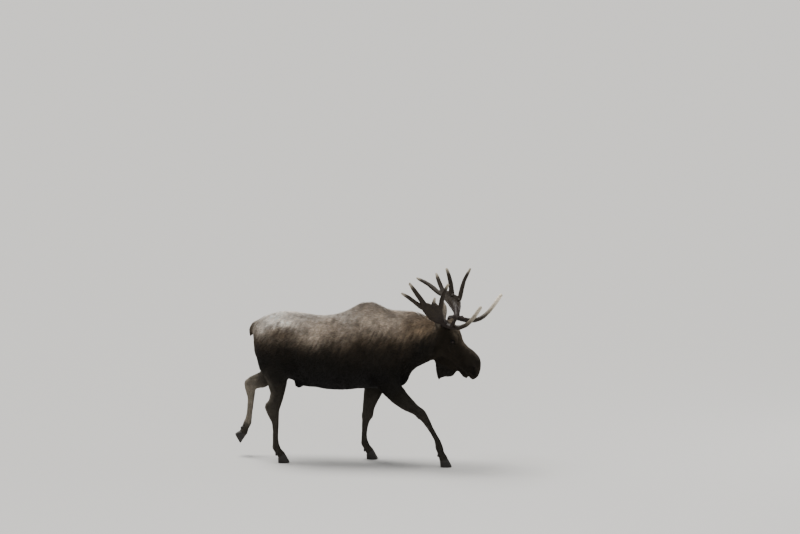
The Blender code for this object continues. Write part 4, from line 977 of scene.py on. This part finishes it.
def head_color(color, points, parts):
    """Face and muzzle, with bare nostrils, lips and lids."""
    along, dorsal, _ = head_coords(points)
    head = parts["head"] * ease(along + 0.9 * dorsal, -0.26, 0.10)
    color = blend_to(color, FACE, head)
    color = blend_to(color, FACE * 2.2, head * ease(dorsal, -0.02, 0.05) * (1 - ease(along, 0.28, 0.42)))
    color = blend_to(color, MUZZLE, head * ease(along, 0.42, 0.56))
    for spots, reach in bare_lines(0.010):
        color = blend_to(color, BARE, 0.9 * (1 - ease(gap_to(points, spots), reach * 1.2, reach * 3.2)))
    for eye in EYES.values():
        gap = gap_from(points, eye)
        color = blend_to(color, BARE, 1 - ease(gap, EYE_RADIUS * 1.10, EYE_RADIUS * 1.42))
    return color


# Which way the hair runs on each node; on the legs it runs down from part to part.
LIE = {"trunk": (-1.0, 0, -0.34), "neck": (-0.74, 0, -0.62), "bell": (-0.12, 0, -1.0),
       "tail": (0.06, 0, -1.0)}
EAR_WAYS = {"right_ear": (-0.057, -0.082, 0.327), "left_ear": (-0.044, 0.156, 0.289)}
LEG_PARTS = {"fore": ("upper_arm", "forearm", "cannon", "pastern"),
             "hind": ("thigh", "gaskin", "cannon", "pastern")}
# Kinds of body part: rounds of smoothing at their edges, and their nodes' endings.
KINDS = {
    "legs": (90, ("forearm", "gaskin", "cannon", "pastern")),
    "hind": (60, ("hind_gaskin", "hind_cannon", "hind_thigh")),
    "head": (30, ("head", "lower_jaw", "neck")),
    "ear": (5, ("ear",)), "bell": (40, ("bell",)), "tail": (20, ("tail",)),
}


def soft_parts(labels, edges):
    """Weights of the kinds of body part, fading over a few centimetres at their edges."""
    return {kind: spread(node_weights(labels, *endings), edges, rounds)
            for kind, (rounds, endings) in KINDS.items()}


def way_of_hair(name):
    """The way the hair runs on one node."""
    if name.endswith("_ear"):
        return EAR_WAYS[name]
    if name == "head":
        return -ALONG
    if name == "lower_jaw":
        return -ALONG * 0.9 - DORSAL * 0.35
    if name in LIE:
        return LIE[name]
    order = LEG_PARTS["fore" if "_fore_" in name else "hind"]
    place = next(place for place, part in enumerate(order) if name.endswith(part))
    limb = name.removesuffix("_" + order[place])
    first, last = order[max(place - 1, 0)], order[min(place + 1, 3)]
    return middle(f"{limb}_{last}") - middle(f"{limb}_{first}")


def lie_of_coat(points, normals, labels, edges):
    """The way the hair runs at each vertex."""
    ways = np.array([unit(np.array(way_of_hair(name))) for name in FLESH])[labels]
    x, _, z = (points - DESIGN).T
    trunk = node_weights(labels, "trunk")
    ways[:, 2] -= trunk * 0.55 * (1 - ease(z, 0.95, 1.45)) * (1 - ease(-x, 0.3, 0.9))
    ways[:, 2] -= trunk * 0.75 * ease(-x, 0.85, 1.15)
    ways[:, 2] += 0.45 * node_weights(labels, "neck") * ease(normals[:, 2], 0.3, 0.8)
    cheek = node_weights(labels, "head") * (1 - ease(head_coords(points)[1], -0.10, 0.03))
    ways -= DORSAL * (0.75 * cheek)[:, None]
    ways = spread(ways, edges, ROUNDS["lie"])
    ways -= normals * (ways * normals).sum(1)[:, None]
    return unit(ways)


MANE_LENGTH, MANE_DEPTH = 0.70, 1.6      # how much longer and deeper the coat is on the crest


def mane_of(points, normals, labels):
    """1 along the crest of the neck and the hump, where the hair is long and stands up."""
    x, _, z = (points - DESIGN).T
    crest = ease(normals[:, 2], 0.35, 0.85) * (1 - node_weights(labels, "head", "ear"))
    return crest * ease(x, -0.22, 0.05) * ease(z, 1.50, 1.62)


def coat_lengths(points, mane, labels, edges):
    """Length and width of the tufts at each vertex."""
    x, _, z = (points - DESIGN).T
    length = spread(by_node(labels, LENGTHS), edges, ROUNDS["size"]) * (1 + MANE_LENGTH * mane)
    width = spread(by_node(labels, WIDTHS), edges, ROUNDS["size"])
    throat = node_weights(labels, "neck", "trunk") * ease(x, 0.18, 0.42) * (1 - ease(z, 1.02, 1.22))
    length *= 1 + 0.45 * throat
    muzzle = node_weights(labels, "head", "lower_jaw") * ease(head_coords(points)[0], 0.40, 0.60)
    length *= 1 - 0.50 * muzzle
    width *= 1 - 0.20 * muzzle
    for eye in EYES.values():
        close = 1 - ease(gap_from(points, eye), 0.026, 0.050)
        length *= 1 - 0.55 * close
        width *= 1 - 0.35 * close
    return spread(length, edges, ROUNDS["trimmed"]), spread(width, edges, ROUNDS["trimmed"])


# ---------------------------------------------------------------- tufts
COVER = 2.15                     # how many tufts deep the coat lies
LONG_FROM = 0.0225               # tufts at least this long bend in the middle
PATCH = 0.003                    # size of a tuft's patch on the map
# How far a tuft is turned aside, in radians, by wide clumps, by narrow clumps and by chance.
TURNS = (0.30, 0.22, 0.42)
CLUMPS = (0.050, 0.018)          # sizes of the wide and the narrow clumps
ROOT_DEPTH = 0.0015              # how deep in the skin a tuft begins
HALF_STAND, TIP_STAND = 0.62, 0.86      # height of its middle and its tip, of the coat's depth there
RIDGE = 0.55                     # height of its ridge, of its half width
# The least share and the room above it, for a tuft's length, width, stand and brightness.
LENGTH_SPAN, WIDTH_SPAN, STAND_SPAN, SHADE_SPAN = (0.72, 0.56), (0.75, 0.50), (0.55, 0.62), (0.72, 0.56)
SKIN_PAINTED_SHADE = 0.72                # painted shade: the skin between the tufts is darkened to this share of their tone
CHART_MARGIN = 0.010             # round each chart of the map
MAP_EDGE, MAP_SIDE = 0.004, 0.990
PIECE_LIMIT = 196_000            # faces in one piece
COAT_PIECES = ("head", "ears", "bell", "neck", "shoulder_right", "shoulder_left", "barrel_right",
               "barrel_left", "rump_right", "rump_left", "fore_right", "fore_left", "hind_right",
               "hind_left")
NUMBER = {name: number for number, name in enumerate(COAT_PIECES)}
SHOULDER_FROM, BARREL_FROM = 0.0, -0.58      # along the trunk; behind the barrel is the rump


def piece_of(points, labels):
    """Which coat piece each tuft belongs to."""
    x, y, _ = (points - DESIGN).T
    names = np.array(FLESH)[labels]
    which = np.zeros(len(points), int)
    stretch = np.where(x > BARREL_FROM, NUMBER["barrel_right"], NUMBER["rump_right"])
    stretch[x > SHOULDER_FROM] = NUMBER["shoulder_right"]
    trunk = (names == "trunk") | (names == "tail")
    which[trunk] = (stretch + (y > 0))[trunk]
    for ending, piece in (("neck", "neck"), ("bell", "bell"), ("_ear", "ears")):
        which[np.char.endswith(names, ending)] = NUMBER[piece]
    for limb in LIMBS:
        side, end = limb.split("_")
        which[np.char.startswith(names, limb)] = NUMBER[f"{end}_{side}"]
    return which


def atlas(points, normals, labels):
    """Each root's place on an unwrap of the skin: one flat chart per body part and facing."""
    axis = np.abs(normals).argmax(1)
    facing = axis * 2 + (normals[np.arange(len(points)), axis] > 0)
    chart = labels * 6 + facing
    across = np.where(axis == 0, points[:, 1], points[:, 0])
    upward = np.where(axis == 2, points[:, 1], points[:, 2])
    flat = np.column_stack((across, upward))
    boxes = []
    for key in np.unique(chart):
        low = flat[chart == key].min(0) - CHART_MARGIN
        boxes.append((key, low, flat[chart == key].max(0) + CHART_MARGIN - low))
    boxes.sort(key=lambda item: -item[2][1])
    side = math.sqrt(sum(size[0] * size[1] for _, _, size in boxes)) * 1.05
    while True:
        places, left_edge, bottom, shelf = {}, 0.0, 0.0, 0.0
        for key, low, size in boxes:
            if left_edge + size[0] > side:
                left_edge, bottom, shelf = 0.0, bottom + shelf, 0.0
            places[key] = (left_edge - low[0], bottom - low[1])
            left_edge += size[0]
            shelf = max(shelf, size[1])
        if bottom + shelf <= side and max(size[0] for _, _, size in boxes) <= side:
            break
        side *= 1.03
    keys = np.array(sorted(places))
    offsets = np.array([places[key] for key in keys])[np.searchsorted(keys, chart)]
    return MAP_EDGE + (flat + offsets) / side * MAP_SIDE


# Corners of a bent tuft: the root, its two widest points, the ridge between them, and the tip.
LONG_FACES = ((0, 1, 3), (0, 3, 2), (1, 4, 3), (3, 4, 2), (0, 2, 1), (1, 2, 4))
LONG_MAP = ((0.5, 0.0), (0.95, 0.5), (0.05, 0.5), (0.5, 0.55), (0.5, 1.0))
# painted shade: brightness of each corner, darkest at the root and brightest at the tip
LONG_PAINTED_SHADE = (0.70, 0.95, 0.95, 1.00, 1.18)
# Corners of a short tuft: two at the root, the ridge, and the tip.
SHORT_FACES = ((0, 2, 1), (0, 3, 2), (2, 3, 1), (0, 1, 3))
SHORT_MAP = ((1.0, 0.0), (0.0, 0.0), (0.5, 0.45), (0.5, 1.0))
# painted shade: brightness of each corner, darkest at the root and brightest at the tip
SHORT_PAINTED_SHADE = (0.75, 0.75, 0.98, 1.18)


class Roots:
    """Where tufts grow, with everything that shapes them."""

    def __init__(self, skin, fields):
        rng = np.random.default_rng(SEED)
        points, triangles = points_of(skin.data), triangles_of(skin.data)
        corners = points[triangles]
        sides = corners[:, 1:] - corners[:, :1]
        area = np.linalg.norm(np.cross(sides[:, 0], sides[:, 1]), axis=1) / 2
        length = fields["length"][triangles].mean(1)
        width = fields["width"][triangles].mean(1)
        cover = COVER * 1.0
        wanted = np.cumsum(area * cover / (0.5 * length * width))
        count = int(wanted[-1])
        face = np.searchsorted(wanted, (np.arange(count) + rng.random(count)) * wanted[-1] / count)
        face = np.minimum(face, len(triangles) - 1)
        share = np.sqrt(rng.random((count, 2)))
        share = np.column_stack((1 - share[:, 0], share[:, 0] * (1 - share[:, 1] ** 2),
                                 share[:, 0] * share[:, 1] ** 2))

        def pick(values):
            """Values of the skin's vertices, at the roots."""
            columns = values.reshape(len(values), -1)
            picked = (columns[triangles[face]] * share[:, :, None]).sum(1)
            return picked.reshape(-1, *values.shape[1:])

        self.place = pick(points)
        self.normal = unit(pick(normals_of(skin.data)))
        self.way = unit(pick(fields["lie"]))
        self.length = pick(fields["length"])
        self.width = pick(fields["width"])
        self.depth = pick(fields["depth"])
        self.parts = {kind: pick(values) for kind, values in fields["parts"].items()}
        label = fields["labels"][triangles[face, 0]]
        self.map = atlas(self.place, self.normal, label)
        self.piece = piece_of(self.place, label)
        self.random = rng.random((count, 6))
        self.keep(self.outside_features())
        self.color = coat_tone_and_painted_light(self.place, self.normal, self.parts)

    def keep(self, chosen):
        for key, value in vars(self).items():
            if isinstance(value, np.ndarray):
                setattr(self, key, value[chosen])
        self.parts = {kind: values[chosen] for kind, values in self.parts.items()}

    def outside_features(self):
        """False for roots on lids, inside nostrils or between the lips, which are bare."""
        bare = gap_to(self.place, EYES.values()) < EYE_RADIUS * 1.18
        for spots, reach in bare_lines(0.008):
            bare |= gap_to(self.place, spots) < reach * 1.25
        return ~bare


def on_skin(tree, places, height):
    """Places set down on the skin and raised along its normal."""
    made = np.empty_like(places)
    for index, place in enumerate(places):
        near, normal, _, _ = tree.find_nearest(Vector(place))
        made[index] = near
        made[index] += np.array(normal) * height[index]
    return made


def varied(span, chance):
    """A share from the span's least upwards, by chance."""
    least, room = span
    return least + room * chance


def tuft_corners(roots, tree):
    """The corners of every tuft, as a bent one and as a short one."""
    random = roots.random
    clump = value_noise(roots.place, CLUMPS[0], SEED + 11)
    small = value_noise(roots.place, CLUMPS[1], SEED + 12)
    turn = TURNS[0] * clump + TURNS[1] * small + TURNS[2] * (random[:, 0] - 0.5)
    across = np.cross(roots.normal, roots.way)
    way = unit(roots.way * np.cos(turn)[:, None] + across * np.sin(turn)[:, None])
    length = roots.length * varied(LENGTH_SPAN, random[:, 1]) * (1 + 0.16 * clump)
    width = roots.width * varied(WIDTH_SPAN, random[:, 2]) * 0.5
    stand = roots.depth * (varied(STAND_SPAN, random[:, 3]) + 0.22 * small)
    root = roots.place - roots.normal * ROOT_DEPTH
    half = on_skin(tree, roots.place + way * (length * 0.5)[:, None], stand * HALF_STAND)
    tip = on_skin(tree, roots.place + way * length[:, None], stand * TIP_STAND)
    ridge = roots.normal * (width * RIDGE)[:, None]
    side = np.cross(roots.normal, way) * width[:, None]
    bent = np.stack((root, half - side - ridge * 0.35, half + side - ridge * 0.35, half + ridge, tip), 1)
    short = np.stack((root - side, root + side, half + ridge, tip), 1)
    return bent, short


def tuft_mesh(name, roots, corners, long, chosen):
    """One coat piece: bent tufts and short ones joined, with colours and the map."""
    points, faces, colors, uvs = [], [], [], []
    start = 0
    tables = ((LONG_FACES, LONG_MAP, LONG_PAINTED_SHADE, chosen & long),
              (SHORT_FACES, SHORT_MAP, SHORT_PAINTED_SHADE, chosen & ~long))
    for kind, (table, places, painted_shade, mine) in zip(corners, tables):
        index = np.flatnonzero(mine)
        points.append(kind[index].reshape(-1, 3))
        base = start + np.arange(len(index)) * len(places)
        faces.append((base[:, None, None] + np.array(table)[None]).reshape(-1, 3))
        random = roots.random[index]
        tuft = varied(SHADE_SPAN, random[:, 4] ** 1.3)
        tuft *= 1 + 0.16 * value_noise(roots.place[index], 0.030, SEED + 21)
        warm = 1 + (random[:, 5] - 0.5)[:, None] * np.array((0.10, 0.0, -0.12))
        color = roots.color[index] * tuft[:, None] * warm
        # the corners' painted shade darkens each tuft towards its root
        colors.append((color[:, None] * np.array(painted_shade)[None, :, None]).reshape(-1, 3))
        uv = roots.map[index][:, None] + (np.array(places) - 0.5)[None] * PATCH
        uvs.append(uv.reshape(-1, 2))
        start += len(index) * len(places)
    faces = np.concatenate(faces)
    mesh = bpy.data.meshes.new(name)
    mesh.from_pydata(np.concatenate(points), [], faces)
    layer = mesh.uv_layers.new(name="OFBake")
    layer.data.foreach_set("uv", np.concatenate(uvs)[faces.ravel()].astype(np.float32).ravel())
    set_color(mesh, "tone_and_painted_light", np.clip(np.concatenate(colors), 0.003, 1))
    set_value(mesh, "upright", np.full(len(mesh.vertices), 0.5))
    return new_object(name, mesh)


def build_coat(skin, fields, material):
    tree = BVHTree.FromPolygons(points_of(skin.data).tolist(), triangles_of(skin.data).tolist())
    roots = Roots(skin, fields)
    corners = tuft_corners(roots, tree)
    long = roots.length >= LONG_FROM
    for name, number in NUMBER.items():
        chosen = roots.piece == number
        sizes = np.where(long, len(LONG_FACES), len(SHORT_FACES)) * chosen
        parts = math.ceil(sizes.sum() / PIECE_LIMIT)
        share = np.minimum(np.cumsum(sizes) * parts // max(sizes.sum(), 1), parts - 1)
        for part in range(parts):
            title = f"coat_{name}" if parts == 1 else f"coat_{name}_{part + 1}"
            obj = tuft_mesh(title, roots, corners, long, chosen & (share == part))
            finished(obj, material, "leg_hide" if "fore" in name or "hind" in name else "body_hide")


# ---------------------------------------------------------------- everything together
def main():
    build_camera()
    build_studio()
    skin = build_skin()
    thinned(skin, SKIN_TRIANGLES, skin_freedom(points_of(skin.data)))
    points, normals, edges = points_of(skin.data), normals_of(skin.data), edges_of(skin.data)
    labels = nearest_nodes(points)
    mane = mane_of(points, normals, labels)
    length, width = coat_lengths(points, mane, labels, edges)
    fields = {"labels": labels, "parts": soft_parts(labels, edges), "length": length, "width": width,
              "lie": lie_of_coat(points, normals, labels, edges),
              "depth": spread(by_node(labels, DEPTHS) * (1 + MANE_DEPTH * mane), edges, ROUNDS["stand"])}
    # the skin between the tufts takes painted shade
    set_color(skin.data, "tone_and_painted_light", coat_tone_and_painted_light(points, normals, fields["parts"]) * SKIN_PAINTED_SHADE)
    set_value(skin.data, "upright", fields["lie"][:, 2] ** 2)
    fur = fur_material("coat")
    finished(skin, fur, "body_hide", *FLESH)
    build_coat(skin, fields, fur)
    antler, horn, eye = antler_material(), horn_material(), eye_material()
    for side in SIDES:
        build_antler(side, antler)
        build_eye(side, eye)
    for limb in LIMBS:
        build_hooves(limb, horn)


main()
